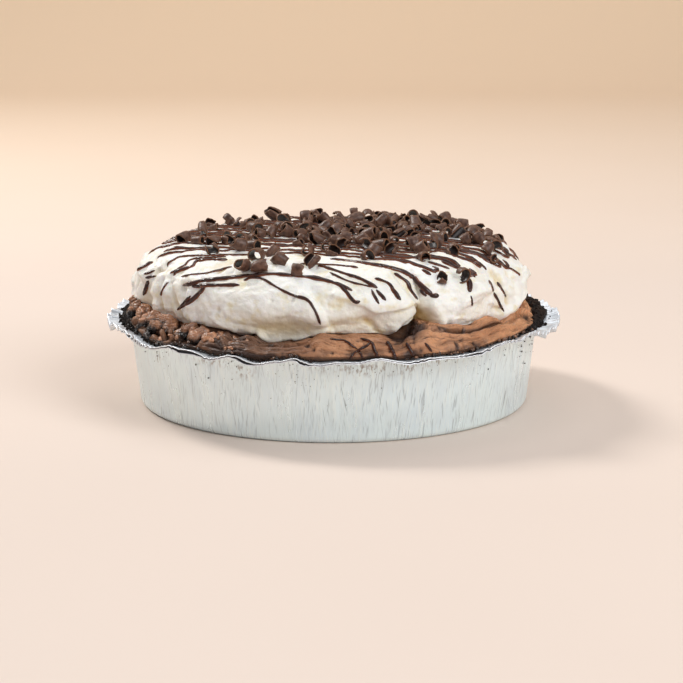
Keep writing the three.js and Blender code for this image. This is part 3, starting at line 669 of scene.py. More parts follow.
def random_folds(seed, count, turns, reach, span, tall):
    """Seeded sweeps of the spatula: paths of angle and height, as the folds above. turns, reach and
    span: where they start and how many degrees they are long; tall: their heights."""
    rng = np.random.default_rng(seed)
    folds = []
    for _ in range(count):
        angle = rng.uniform(*turns)
        height = rng.uniform(*reach)
        slope = rng.uniform(-0.55, 0.55)
        length = rng.uniform(*span)
        sway = rng.uniform(-2.5, 2.5)
        path = []
        for t in np.linspace(0, 1, 5):
            rise = slope * length * (t - 0.5)
            path.append((angle + length * t, height + rise + sway * math.sin(math.pi * t)))
        sharp, soft = rng.uniform(0.7, 1.4), rng.uniform(2.5, 6)
        wide = (sharp, soft) if rng.uniform() < 0.45 else (soft, sharp)
        folds.append((path, rng.uniform(*tall), *wide))
    return folds


BACK_FOLDS = random_folds(151, 34, (-60, 185), (55, 84), (8, 24), (0.6, 2.1))
LEFT_FOLDS = random_folds(163, 40, (182, 236), (54, 79), (1.5, 7), (-1.6, 1.8))


# ---- Foil tin ----
def pleats(angle, seed, pitch):
    """Uneven pointed folds round the rim, from -1 to 1."""
    along = angle / 360 * round(TURN * TIN["rim"] / pitch)
    shift = 1.6 * ripple(seed, [11, 17, 29])(angle)
    saw = np.abs((along + shift) % 1 * 2 - 1) * 2 - 1
    return saw * (0.35 + 0.65 * np.abs(ripple(seed + 1, [6, 13, 21])(angle)))


def wall_wrinkles(angle, height):
    """Low upright flutes and bends that the press and the hands left in the tin's wall."""
    circle = polar(TIN["wall_top"], angle, height)
    flutes = 0.45 * noise_at(circle, (4.2, 4.2, 34), 21) + 0.3 * noise_at(circle, (1.9, 1.9, 17), 25)
    bends = 0.3 * noise_at(circle, (16, 16, 14), 45)
    relief = flutes * (0.55 + 0.45 * noise_at(circle, (22, 22, 16), 47)) + bends - 0.1
    return np.where(relief < 0, 0.5 * np.tanh(relief / 0.5), relief)


# Where the rolled edge of the rim stands open: angle, width in degrees, height of the slit.
OPEN_EDGES = [(212, 5, 0.9), (232.5, 4.8, 1.3), (248.6, 2.4, 1.2), (262.8, 1.5, 1.1), (291, 4, 0.5),
              (306, 5, 0.6), (60, 12, 0.5), (120, 9, 0.6), (160, 8, 0.5)]
# The rolled edge from below, round its slit and up to the flange: the height that it is measured
# from, millimetres outward and up, and how much painted shadow darkens the slit there.
ROLLED_EDGE = [
    ("level", -1.4, -0.75), ("low", -1.2, -0.3), ("low", -0.1, -0.5), ("low", 0.3, -0.4),
    ("low", 0.4, -0.15), ("low", 0.2, 0.02), ("low", 0.1, 0.05, 0.9), ("low", -0.8, 0.1, 1.0),
    ("level", -0.8, -0.5, 1.0), ("level", 0.3, -0.42), ("level", 0.58, -0.2),
    ("level", 0.48, 0.05), ("level", 0.2, 0.14)]
# Brown smears of chocolate near the top of the wall: angle, height, width in degrees, height.
STAINS = [(277, 37, 7, 2.6), (266, 38.5, 3, 1.6), (236, 37, 5, 2), (246, 34, 3, 3), (289, 36, 5, 2.4),
          (300, 38, 6, 1.5), (214, 32, 2, 3)]


def foil_tin():
    columns = 1280
    angle = angles_of(columns)
    sheet = 0.25
    rows, creases, walls, stains = [], [], [], []

    def add(radius, height, crease_shade=0.0, wall=0.0, stain=0.0):
        rows.append(polar(radius, angle, height))
        for numbers, value in ((creases, crease_shade), (walls, wall), (stains, stain)):
            numbers.append(value + 0 * angle)

    add(TIN["foot"] - 30, 0.15, 0.0, 1.0)
    add(TIN["foot"] - 1.5, 0, 0.0, 1.0)
    for step in range(4):
        bend = math.radians(15 + step * 22)
        radius = TIN["foot"] + (TIN["wall_foot"] - TIN["foot"]) * math.sin(bend)
        add(radius, TIN["corner"] * (1 - math.cos(bend)), 0.0, 1.0)
    for share in np.linspace(0.02, 1, 26):
        height = TIN["corner"] + (TIN["wall_height"] - 0.6 - TIN["corner"]) * share
        radius = TIN["wall_foot"] + (TIN["wall_top"] - 0.2 - TIN["wall_foot"]) * share
        hold = ease(share / 0.1) * ease((1 - share) / 0.08 + 0.3)
        stain = sum(hill(between(angle, at), wide) * hill(height - up, tall)
                    for at, up, wide, tall in STAINS)
        wrinkled = radius + wall_wrinkles(angle, height) * hold
        add(wrinkled, height, 0.0, ease((1 - share) / 0.08 + 0.3), np.minimum(1, stain))
    side = sideways(angle)
    folds, small = pleats(angle, 61, 6.5), pleats(angle, 67, 3.1)
    pull = 0.7 * side * np.maximum(0, pleats(angle, 73, 9.0))

    def rim(share, lift):
        radius = TIN["wall_top"] + (TIN["rim"] - 0.6 - pull - TIN["wall_top"]) * share
        wave = rim_height(radius, angle) + (0.1 + 0.9 * side) * (1.9 * folds + 1.1 * small) * share
        return radius, wave + 0.5 * ease((share - 0.8) / 0.15) + lift

    for share in np.linspace(0.04, 0.82, 7):
        add(*rim(share, -sheet))
    outer, level = rim(1, 0)
    slit = 0.12 + sum(tall * hill(between(angle, at), wide) for at, wide, tall in OPEN_EDGES)
    low = level - 0.55 - slit
    for edge in ROLLED_EDGE:
        start, out, up, crease_shade = (*edge, 0.0)[:4]
        add(outer + out, {"level": level, "low": low}[start] + up, crease_shade)
    for share in np.linspace(0.97, 0.0, 10):
        flange = polar(TIN["wall_top"] + 11 * share, angle, 0)
        smeared = side * np.clip(0.55 - 0.6 * share + 0.9 * noise_at(flange, 3.4, 49, 2), 0, 1)
        # Painted shade in the low folds of the flange at the left and right.
        folded = 0.75 * side * np.clip(-1.5 * folds - 0.5 * small - 0.35, 0, 1) * ease(share / 0.3)
        add(*rim(share, 0), folded, 0.0, smeared)
    add(TIN["wall_top"] - 0.85, TIN["rim_height"] - 2)
    add(TIN["wall_foot"] - 0.75, TIN["corner"] + 0.5)
    add(TIN["foot"] - 0.5, 0.4)
    shades = {"crease_shade": np.array(creases), "wall": np.array(walls), "stain": np.array(stains)}
    return ring_object("tin", np.array(rows), shades)


# ---- Crumb crust ----
# How many loose crumbs lie on the crust's crest, on the rim and heaped at the left, and how many
# specks stick to the wall.
CRUMB_COUNTS = dict(crest=1900, rim=450, heap=70, specks=330)


def crust_core():
    columns = 480
    angle = angles_of(columns)
    out = TIN["sheet"] + GAP
    wall_top = TIN["wall_top"] - out
    clear = GAP + CRUST["rim_clearance"]
    floor = out + CRUST["floor"]
    outer, crest = crust_outer(angle), crust_crest(angle)
    inner = crust_inner(angle)
    low = rim_height(outer, angle) + clear
    plan = [
        (TIN["foot"] - out, out), (TIN["wall_foot"] - out, TIN["corner"] + out),
        (wall_top, TIN["rim_height"] + clear - 0.4), (outer - 0.3, low - 0.3),
        (outer, (low + crest) / 2),
        (outer - 0.6, crest - 0.2), (outer * 0.66 + inner * 0.34, crest - 0.1),
        (outer * 0.33 + inner * 0.67, crest - 0.5), (inner, crest - CRUST["lip_drop"]),
        (wall_top - CRUST["wall"], CRUST["ledge"]), (TIN["wall_foot"] - out - CRUST["wall"] - 3, floor)]
    grid = np.array([polar(r, angle, z) for r, z in plan])
    rough = noise_at(grid, 2.6, 301, 2)[..., None] * grid_normals(grid)
    grid[4:8] += 0.5 * (0.2 + 0.8 * sideways(angle))[:, None] * rough[4:8]
    tone = 0.5 + 0.5 * noise_at(grid, 2.0, 305)
    return ring_object("crust", grid, {"tone": tone})


def chunks(name, places, seed):
    """Joins small uneven lumps. places: rows of x, y, z, size."""
    rng = np.random.default_rng(seed)
    ball, faces = ball_of(1)
    parts = []
    for x, y, z, size in places:
        stretch = rng.uniform(0.65, 1.25, 3)
        jitter = 1 + rng.uniform(-0.28, 0.28, (len(ball), 1))
        points = (ball * jitter * stretch) @ any_turn(rng) * size / 2 + (x, y, z)
        parts.append((points, faces, {"tone": [rng.uniform(0, 1)] * len(ball)}))
    return make_object(name, *stack(parts), smooth=False)


def crust_crumbs():
    rng = np.random.default_rng(7)
    places = []
    while len(places) < CRUMB_COUNTS["crest"]:
        angle = rng.uniform(0, 360)
        side = float(sideways(angle))
        inner, outer, crest = (float(f(angle)) for f in (crust_inner, crust_outer, crust_crest))
        inner = max(inner, float(filling_lip(angle)) - 0.6)
        if rng.uniform() > side * 1.4 or inner > outer + 0.5:
            continue
        share = rng.uniform() ** 0.8
        size = min(4.4, 0.9 + rng.gamma(2.0, 0.35 + 0.5 * side))
        radius = inner + (outer - 0.3 * size - inner) * share
        slope = crest - 0.8 * (1 - ease(share * 3)) - 1.4 * ease((share - 0.7) / 0.3)
        height = slope + rng.uniform(-0.5, 0.5) * size * (0.5 + 0.5 * side)
        places.append((*polar(radius, angle, height), size))
    while len(places) < CRUMB_COUNTS["crest"] + CRUMB_COUNTS["rim"]:
        angle = rng.uniform(0, 360)
        side = float(sideways(angle))
        turn = math.radians(angle)
        clump = float(noise(math.cos(turn) * 9, math.sin(turn) * 9, 0.5, 77))
        edge = max(float(filling_lip(angle)), float(crust_outer(angle)) - 0.6)
        radius = edge + rng.normal(0.1, 0.5) + side * abs(rng.normal(0, 1.8))
        if radius > TIN["rim"] - 1.6 or rng.uniform() > 0.1 + 0.6 * clump + 0.5 * side:
            continue
        size = rng.uniform(0.5, 1.7 + 0.6 * side)
        height = float(rim_height(radius, angle)) + 0.25 + size * 0.3
        places.append((*polar(radius, angle, height), size))
    for _ in range(CRUMB_COUNTS["heap"]):
        angle, share = rng.normal(178.5, 4.5), rng.uniform(0, 0.75)
        inner, outer = float(crust_inner(angle)), float(crust_outer(angle))
        height = float(crust_crest(angle)) + rng.uniform(-0.2, 1.3) * (1 - share)
        places.append((*polar(inner + (outer - inner) * share, angle, height), rng.uniform(1.4, 3.4)))
    return chunks("crust_crumbs", places, 8)


def foil_specks():
    """Small crumbs and drips of chocolate stuck to the tin's wall, most of them near its rim."""
    rng = np.random.default_rng(19)
    places = []
    while len(places) < CRUMB_COUNTS["specks"]:
        angle = rng.uniform(0, 360)
        ring = math.cos(math.radians(angle)) * 7, math.sin(math.radians(angle)) * 7
        if rng.uniform() > 0.35 + 0.9 * float(noise(*ring, 0.5, 23)):
            continue
        share = 1 - min(1, rng.gamma(1.3, 0.13))
        height = TIN["corner"] + 1 + (TIN["wall_height"] - 3 - TIN["corner"]) * share
        radius = TIN["wall_foot"] + (TIN["wall_top"] - TIN["wall_foot"]) * height / TIN["wall_height"]
        places.append((*polar(radius, angle, height), min(1.1, 0.25 + rng.gamma(1.2, 0.16))))
    return chunks("specks", places, 20)


# ---- Chocolate filling ----
# How many torn blocks there are round the whole ring.
BLOCKS = 190


def torn_blocks(arc, across, seed):
    """Rounded uneven blocks with deep cracks between them. arc and across are in millimetres."""
    rng = np.random.default_rng(seed)
    around = TURN * RING
    best = np.full(arc.shape, 1e9)
    second = best.copy()
    level = np.zeros(arc.shape)
    for _ in range(BLOCKS):
        dx = (arc - rng.uniform(0, around) + around / 2) % around - around / 2
        dy = across - rng.uniform(-3, 19)
        slant, wide = rng.uniform(-0.5, 0.5), rng.uniform(0.75, 1.35)
        distance = np.hypot(dx / wide, dy + slant * dx)
        tall = rng.uniform(-5.5, -3.0) if rng.uniform() < 0.2 else rng.uniform(-1.0, 1.6)
        tilt = tall + rng.uniform(-0.25, 0.25) * dx + rng.uniform(-0.3, 0.2) * dy
        nearer = distance < best
        second = np.where(nearer, best, np.minimum(second, distance))
        level = np.where(nearer, tilt, level)
        best = np.where(nearer, distance, best)
    dome = 1 - np.clip(best / 6.0, 0, 1) ** 2
    crack = 1 - ease((second - best) / 2.6)
    return level + 1.8 * dome, crack


# Sweeps and ridges of the filling's ring, as the cream's folds: path of angle and millimetres in
# from the lip, height, widths.
FILLING_FOLDS = [
    ([(291, 9.5), (297, 10.5), (306, 8.8), (316, 7.2), (326, 7.4), (335, 9.5)], 2.2, 3.6, 0.7),
    ([(288, 5.2), (298, 5.6), (308, 5.2), (320, 3.6), (331, 3.4)], 1.2, 2.2, 0.6),
    ([(297, 8.2), (306, 7.2), (318, 5.4)], -0.8, 0.7, 1.4),
    ([(240, 7.5), (247, 8.5), (256, 7.2), (266, 6.2), (275, 8.0), (284, 9.2)], 1.3, 2.8, 0.7),
    ([(243, 3.6), (252, 4.6), (262, 3.2), (273, 4.4), (286, 3.6)], 1.0, 1.8, 0.6),
    ([(262, 10.5), (270, 9.6), (279, 10.8)], 1.0, 1.6, 0.8),
    ([(236, 9.0), (240, 5.5), (243, 2.5)], 1.3, 1.4, 0.8),
]


def filling():
    columns, bands = 900, 50
    angle = angles_of(columns)[None, :]
    share = np.linspace(0, 1, bands)[:, None] ** 0.85
    inner = cream_edge_radius(angle)
    lip = filling_lip(angle)
    high = cream_edge_height(angle) - GAP
    low = np.maximum(FILLING["lip_height"], filling_underside(angle) + FILLING["lip_thickness"])
    rounded = (1 - share ** 2.6) ** 0.6
    height = low + (high - low) * rounded
    relief = 0
    for at, along, wide, deep, reach in FILLING_RELIEF:
        relief = relief - deep * hill(between(angle, at), wide) * hill(share - along, reach)
    relief = np.where(relief > 0, relief * ease(share / 0.25), relief)
    radius = inner + (lip - inner) * share
    grid = polar(radius, angle, height + relief)
    normal = -grid_normals(grid)
    rough = ease((between(angle, 172) + 8) / 14) * ease((between(238, angle) + 6) / 12)
    arc = np.radians(angle) * RING + 0 * share
    inward = (lip - inner) * (1 - share)
    level, crack = torn_blocks(arc, inward, 91)
    inside = ease(share / 0.06) * ease((1 - share) / 0.03)
    ring = polar(RING, angle, share * 60)
    left = ease((between(300, angle) + 12) / 24) * ease((between(angle, 225) + 8) / 16)
    strokes = 1.8 * (np.abs(noise_at(ring, (26, 26, 11), 93, 2)) - 0.3)
    streaks = (0.75 + 0.5 * left) * noise_at(ring, (13, 13, 4.2), 95, 3)
    fibres = 0.55 * (0.45 - np.abs(noise_at(ring, (9, 9, 3.2), 87, 2)))
    soft = 0.5 * noise_at(grid, 4.0, 97, 2)
    torn = 0.4 + np.maximum(0, noise_at(grid, 12, 94))
    torn = 0.8 * np.maximum(0, noise_at(grid, 2.2, 98, 2)) * torn
    split = np.clip(1 - np.abs(noise_at(ring, (17, 17, 7), 90, 2)) / 0.1, 0, 1)
    split = split * (0.25 + 0.75 * left)
    split = split * np.clip(0.3 + 1.4 * noise_at(grid, 9, 88), 0, 1)
    sweeps = folded(FILLING_FOLDS, angle, inward, RING)
    craggy = (level - 4.5 * crack - 1.9) * ease((share - 0.02) / 0.15)
    craggy = craggy + 1.2 * noise_at(grid, 2.4, 99, 2)
    pit = np.clip(noise_at(grid, 2.9, 85) - 0.6, 0, 1) / 0.4
    even = strokes + streaks + fibres + soft + torn + sweeps - 1.2 * split - 1.8 * pit
    amount = (1 - rough) * even + rough * craggy
    grid = grid + normal * (amount * inside)[..., None]
    # Painted shade in the torn zone's deepest cracks.
    deep = np.clip(-amount - 1.6, 0, 3) / 3
    # Painted shade in patches along the lip's edge.
    foot = hill(share - 1, 0.035) * np.clip(1.6 * noise_at(ring, (11, 11, 40), 86, 2) - 0.1, 0, 0.9)
    # Darker over the front left, and painted shade in dents, splits, pits and along the lip's edge.
    smooth = 0.22 * left + 0.5 * np.clip(-amount, 0, 1) + 0.7 * split + 1.2 * pit + foot
    # Painted shade beside the torn zone.
    shade_beside = 0.6 * ease((between(angle, 232) + 6) / 10) * ease((between(266, angle) + 4) / 16)
    # In the torn zone the ring is painted near black: the dark crust between the lumps, with painted
    # shade.
    hollow = rough * (0.72 + 1.4 * deep) + (1 - rough) * (smooth + shade_beside)
    # Painted shade where the relief sinks.
    hollow = hollow + np.clip(-relief / 1.3, 0, 1)
    shadow = 0.95 * hill(between(angle, 264), 2.6) * hill(share, 0.12)
    hollow = np.clip(hollow + shadow, 0, 1)
    out = TIN["sheet"] + GAP
    wall_top = TIN["wall_top"] - out - CRUST["wall"] - GAP
    wall_foot = TIN["wall_foot"] - out - CRUST["wall"] - 3 - GAP
    flat = angle[0]
    crest = crust_crest(flat)
    inner_lip = crust_inner(flat) - GAP - 0.1
    over = inner_lip + 0.22 * FILLING["spread"] * (1 - sideways(flat))
    under = [polar(wall_foot, flat, out + CRUST["floor"] + GAP),
             polar(wall_top, flat, CRUST["ledge"] + GAP + 0.2),
             polar(inner_lip, flat, crest - CRUST["lip_drop"] + 2 * GAP),
             polar(over, flat, crest + 2 * GAP + 0.2 - CRUST["lip_drop"] * sideways(flat)),
             polar(lip[0] - 0.4, flat, filling_underside(flat))]
    core = [polar(FILLING["core_radius"], flat, FILLING["core_height"])]
    rows = np.concatenate([np.array(under), grid[::-1], np.array(core)])
    bare = np.zeros((5, columns))
    # The underside's rows are painted dark: painted shade under the lip.
    shades = np.concatenate([bare + 0.9, hollow[::-1], bare[:1]])
    run = np.concatenate([bare, (arc + 2.5 * noise_at(grid, 9, 96))[::-1], bare[:1]]) / FIBRES
    cross = np.concatenate([bare, (inward + 1.6 * noise_at(grid, 7, 92))[::-1], bare[:1]]) / FIBRES
    return ring_object("mousse", rows, {"hollow": shades, "run": run, "cross": cross})


# Lumps of the torn filling: how many, where across the ring from the cream to the lip, their size
# and how finely they are cut.
TORN_LUMPS = [(16, 0.2, 10.2, 4), (14, 0.68, 8.0, 3), (26, 0.55, 4.2, 3), (26, 0.9, 2.6, 2)]
TORN_FROM, TORN_TO = 174.0, 249.0
# Bits of the filling that fell on the rim: from angle, to angle, how many.
RIM_BITS = [(198, 262, 60), (286, 344, 90)]


def torn_places():
    """Where the filling is broken into lumps: rows of place, size, how dark and how finely cut."""
    rng = np.random.default_rng(31)
    places = []
    for count, middle, usual, fine in TORN_LUMPS:
        for number in range(count):
            angle = TORN_FROM + (TORN_TO - TORN_FROM) * (number + rng.uniform(0.1, 0.9)) / count
            share = float(np.clip(rng.normal(middle, 0.12), 0, 1.02))
            inner, lip = float(cream_edge_radius(angle)), float(filling_lip(angle))
            high = float(cream_edge_height(angle)) - GAP
            low = max(FILLING["lip_height"], float(filling_underside(angle)) + FILLING["lip_thickness"])
            height = low + (high - low) * (1 - min(1, share) ** 2.6) ** 0.6
            size = min(1.5 + 1.2 * (lip - inner), usual * rng.uniform(0.7, 1.35))
            size *= 1 - 0.35 * ease((angle - 232) / 14)
            room = max(0, lip - inner - 0.8 * size)
            radius = min(lip - 0.4 * size, inner + 0.35 * size + room * share)
            place = polar(radius, angle, height + 0.9 - rng.uniform(0.25, 0.5) * size)
            places.append((place, size, rng.uniform(0, 0.55) ** 2, fine))
    for start, end, count in RIM_BITS:
        for _ in range(count):
            angle, size = rng.uniform(start, end), rng.uniform(0.8, 2.4)
            radius = min(TIN["rim"] - 2.5, float(filling_lip(angle)) + rng.uniform(-0.9, 0.9))
            height = float(rim_height(radius, angle)) + 0.45 * size + GAP
            places.append((polar(radius, angle, height), size, rng.uniform(0.4, 0.97), 1))
    return places


def broken_lump(base, rng):
    """One lump that broke off: flat faces all round, rough and pitted. Its points, and painted shade in
    its pits and creases.
    """
    faces = rng.normal(size=(11, 3))
    faces /= np.linalg.norm(faces, axis=1)[:, None]
    reach = rng.uniform(0.62, 1.0, 11) / np.maximum(base @ faces.T, 0.05)
    radius = np.minimum(1.25, reach.min(axis=1))
    own = base + rng.uniform(-50, 50, 3)
    pitted = noise_at(own, 0.3, 171, 2)
    ridged = np.abs(noise_at(own, 0.55, 173))
    radius = radius * (1 + 0.13 * pitted - 0.16 * (0.35 - ridged))
    hollow = 0.5 * np.clip(-pitted * 1.6, 0, 1) + 0.6 * np.clip(1 - ridged / 0.12, 0, 1)
    return base * radius[:, None], hollow


def below_tops(points, cell=1.4, reach=3):
    """How far each point lies below the tops around it, in millimetres."""
    spots = np.floor(points[:, :2] / cell).astype(int)
    spots += reach - spots.min(axis=0)
    tops = np.full(spots.max(axis=0) + reach + 1, -1e9)
    np.maximum.at(tops, tuple(spots.T), points[:, 2])
    total = np.zeros(len(points))
    found = np.zeros(len(points))
    for dx in range(-reach, reach + 1):
        for dy in range(-reach, reach + 1):
            top = tops[spots[:, 0] + dx, spots[:, 1] + dy]
            total += np.where(top > 0, top, 0)
            found += top > 0
    return total / found - points[:, 2]


def torn_lumps():
    """Broken bits of the filling, with painted shade darkening the spaces between them."""
    rng = np.random.default_rng(33)
    balls = {fine: ball_of(fine) for fine in (1, 2, 3, 4)}
    parts = []
    for place, size, dark, fine in torn_places():
        base, faces = balls[fine]
        lump, pitted = broken_lump(base, rng)
        turn = any_turn(rng)
        lump = (lump * rng.uniform(0.6, 1.3, 3)) @ turn * size / 2 + place
        angle = np.degrees(np.arctan2(lump[:, 1], lump[:, 0]))
        rest = rim_height(np.hypot(lump[:, 0], lump[:, 1]), angle) + CRUST["rim_clearance"]
        lump[:, 2] = np.maximum(lump[:, 2], rest)
        # Each lump's own darker tone, with painted shade in its pits.
        parts.append((lump, faces, {"hollow": dark + 0.7 * pitted}))
    spot, faces, values = stack(parts)
    # Painted shade where a point lies below the tops around it.
    gap_shade = ease((below_tops(spot) - 0.1) / 2.8)
    values["hollow"] = np.clip(values["hollow"] + gap_shade, 0, 1)
    values.update(run=spot[:, 0] / FIBRES, cross=spot[:, 2] / FIBRES)
    return make_object("torn_mousse", spot, faces, values)


# ---- Whipped cream ----
def cream():
    columns = 780
    angle = angles_of(columns)[None, :]
    edge = cream_edge_height(angle)
    joint = FILLING["core_height"] + GAP
    under = [polar(r, angle[0], joint) for r in (40.0, FILLING["core_radius"])]
    under.append(polar(cream_edge_radius(angle)[0], angle[0], edge[0]))
    share = np.linspace(0.04, 1, 20)[:, None]
    low = edge + (CREAM["girth"] - edge) * share
    bend = np.radians(np.linspace(2, 89, 60))[:, None]
    lift = np.sin(bend) ** (2 / CREAM["bulge"])
    high = CREAM["girth"] + (CREAM["plateau_height"] - CREAM["girth"]) * lift + 0 * angle
    side = np.concatenate([low, high])
    side_grid = polar(side_radius(angle, side), angle, side)
    disc = np.linspace(CREAM["plateau_radius"] - 1.4, 1.4, 40)[:, None]
    top_grid = polar(disc, angle, plateau_height(disc, angle))
    grid = np.concatenate([side_grid, top_grid])
    normal = grid_normals(grid)
    level = np.concatenate([side, 82 + 0 * angle + (70 - disc)])
    unroll = polar(SIDE, angle, level)
    warp = 5 * np.stack([noise_at(grid, 22, seed) for seed in (141, 142, 143)], axis=-1)
    strokes = 2.0 * (np.abs(noise_at(unroll + warp, (30, 30, 10), 131, 2)) - 0.25)
    lumps = 0.9 * noise_at(grid, 17, 133, 2)
    ridges = 0.35 * (0.5 - np.abs(noise_at(unroll + warp, (20, 20, 3.4), 135)))
    fine = 0.6 * noise_at(grid, 2.6, 137, 2)
    fine = fine + 0.4 * (0.35 - np.abs(noise_at(grid + warp, (6, 6, 3.2), 138, 2)))
    pits = -0.9 * np.clip(noise_at(grid, 2.6, 139) - 0.6, 0, 1) / 0.4
    flat_top = 1 - 0.55 * ease((level - 80) / 12)
    relief = strokes * flat_top + lumps * flat_top + ridges + fine + pits
    folds = folded(SIDE_FOLDS + BACK_FOLDS + LEFT_FOLDS, angle, level)
    front = ease((between(angle, 185) + 6) / 12) * ease((between(345, angle) + 6) / 12)
    amount = relief * (1 - 0.2 * front) + folds
    fade = np.ones(level.shape)
    fade[:2] = 0.3
    grid = grid + normal * (amount * fade)[..., None]
    reach = np.hypot(grid[..., 0], grid[..., 1]) - CREAM["plateau_radius"]
    # Painted shade: darker and yellower where the side draws in low down, in the spatula's scoops and
    # in dents.
    crease_shade = ease((CREAM["shoulder"] - 2 - reach) / 10) * hill(level - 57, 11)
    scoop_shade = 0.16 * np.maximum(0, scoop_depth(angle, level)) * hill(level - 55, 9)
    hollow = np.clip(0.9 * crease_shade + scoop_shade + 0.55 * ease((-0.3 - amount) / 1.6), 0, 1)
    rows = np.concatenate([np.array(under), grid])
    shades = np.concatenate([np.zeros((3, columns)), hollow])
    return ring_object("cream", rows, {"hollow": shades})


# ---- Chocolate lines ----
def ribbon_parts(path, width, height):
    """Points and faces of one line of chocolate. path: rows of point and surface normal."""
    sides = 8
    points, thin = [], []
    last = len(path) - 1
    for i, (place, normal) in enumerate(path):
        ahead = path[min(last, i + 1)][0] - path[max(0, i - 1)][0]
        ahead /= max(np.linalg.norm(ahead), 1e-6)
        across = np.cross(ahead, normal)
        across /= max(np.linalg.norm(across), 1e-6)
        end = math.sqrt(min(1, (min(i, last - i) + 0.25) / 2.0))
        w, h = width[i] / 2 * end, height * end * (0.7 + 0.3 * width[i])
        for k in range(sides):
            turn = TURN * k / sides
            up = h * math.sin(turn) + 0.05 * h
            points.append(place + across * w * math.cos(turn) + normal * up)
            thin.append(abs(math.cos(turn)))
    faces = []
    for i in range(last):
        for k in range(sides):
            a, b = i * sides + k, i * sides + (k + 1) % sides
            faces.append((a, a + sides, b + sides, b))
    faces.append(tuple(range(sides)))
    faces.append(tuple(last * sides + k for k in reversed(range(sides))))
    return np.array(points), faces, {"thin": thin}


def cast(tree, start, ahead):
    hit, normal, _, _ = tree.ray_cast(Vector(start), Vector(ahead).normalized())
    return (np.array(hit), np.array(normal)) if hit else None


def drop(tree, x, y):
    """The highest point of a surface under a place, with its normal."""
    return cast(tree, (x, y, ABOVE), (0, 0, -1))


def seen(tree, u, v):
    """The point of a surface that the photograph shows at a pixel."""
    down = math.sin(CAMERA["pitch"]), math.cos(CAMERA["pitch"])
    right, up = (u - FRAME / 2) / CAMERA["focal"], (FRAME / 2 - v) / CAMERA["focal"]
    ahead = (right, down[1] + up * down[0], -down[0] + up * down[1])
    return cast(tree, CAMERA["place"], ahead)


def evenly(path, step):
    """Points a set distance apart along a path, split where it jumps."""
    runs, run = [], []
    for item in path:
        if item is None or (run and np.linalg.norm(item[0] - run[-1][0]) > 7):
            if len(run) > 3:
                runs.append(run)
            run = []
        if item is not None and (not run or np.linalg.norm(item[0] - run[-1][0]) >= step):
            run.append(item)
    if len(run) > 3:
        runs.append(run)
    return runs


# The chocolate lines that show on the front of the cream: pixels of the photograph along each
# line, and the line's width in millimetres.
FRONT_LINES = [
    ([(137.5, 270.4), (146, 265), (153.6, 261.2)], 1.9), ([(144.4, 274.2), (156.6, 270.4)], 1.3),
    ([(146, 278), (158, 276)], 1.2), ([(149, 281), (142.9, 295.6)], 1.9),
    ([(161.2, 295.6), (164.3, 286.4), (168.9, 281.8)], 1.3),
    ([(173.5, 275.7), (178, 271.1), (191.8, 266.5), (199.5, 260.4), (228.6, 259.6)], 1.7),
    ([(170.4, 273.4), (182.7, 266.5), (194.9, 258.9), (227, 256.6)], 1.3),
    ([(167.3, 266.5), (172, 260.4), (191.8, 255.8), (250, 255)], 1.5),
    ([(181, 276.5), (207, 272.7), (220, 270), (233, 266.5)], 1.1),
    ([(182.7, 285.7), (205.6, 280.3), (230, 278), (268.4, 274.2), (291.3, 275.7), (318.9, 278.8),
      (338.8, 284.9), (345.3, 291), (354.5, 301.5), (360.6, 301)], 1.9),
    ([(191.8, 286.4), (205.6, 285.7), (239.3, 284.9)], 1.8),
    ([(205.6, 287), (191.8, 300.2), (176.5, 310)], 1.7), ([(190.3, 295.6), (179.6, 309)], 2.0),
    ([(243.9, 280.3), (252, 278), (262.3, 278.8), (273, 285), (283.7, 291), (295, 296), (306.7, 299.5),
      (314.3, 309.4), (320.4, 324.7)], 1.3),
    ([(330, 258.9), (366.7, 263.5), (397.3, 269.6), (412.7, 277.2), (420.3, 284.9),
      (432.6, 295.6)], 2.0),
    ([(300, 264), (330, 265), (357.6, 267.3)], 1.2),
    ([(318, 265.5), (330, 268.8), (343.8, 273.4), (360.6, 278.8), (377.5, 288)], 1.6),
    ([(330, 272.7), (349.9, 281.8), (372.9, 287.2)], 1.0), ([(334.6, 281.8), (353, 291)], 1.3),
    ([(374.4, 278), (388.2, 283.4), (395.8, 294), (401.2, 301)], 1.8),
    ([(371.3, 289.5), (379, 304)], 1.5), ([(375.9, 289.5), (386.6, 301)], 1.5),
    ([(394.3, 273.4), (406.5, 281.8), (411, 291), (418, 299.4)], 1.7),
    ([(420.3, 289.5), (426.4, 296.4)], 2.0), ([(429.5, 295.6), (440.2, 295.6)], 2.3),
    ([(380.5, 256.6), (403.5, 260.4), (421.8, 266.5), (437, 273.4)], 1.5),
    ([(421.8, 269.6), (431, 275)], 1.6), ([(428, 261.9), (449.4, 268.8)], 1.4),
    ([(441.7, 261.2), (461.6, 270.4)], 1.7), ([(458.6, 251.2), (489.2, 257.4), (492.3, 263.5)], 1.8),
    ([(457, 257.4), (477, 262), (486, 269.6)], 1.6),
    ([(461.6, 245), (501.4, 247.4), (508.3, 257.4)], 1.9),
    ([(510.6, 246.6), (519.8, 260.4)], 2.4), ([(469.3, 271), (475.4, 278)], 1.5),
    ([(464.7, 277.2), (469.3, 281.8), (470, 292.6)], 2.3), ([(470.8, 295.6), (472.4, 306.3)], 0.8),
    ([(509, 268), (519.8, 275)], 1.7), ([(489.2, 280.3), (495.3, 295.6), (504.5, 312.4)], 1.6),
    ([(496.8, 281.8), (506, 297)], 1.2), ([(459.5, 285.5), (461, 287.5)], 2.4),
]
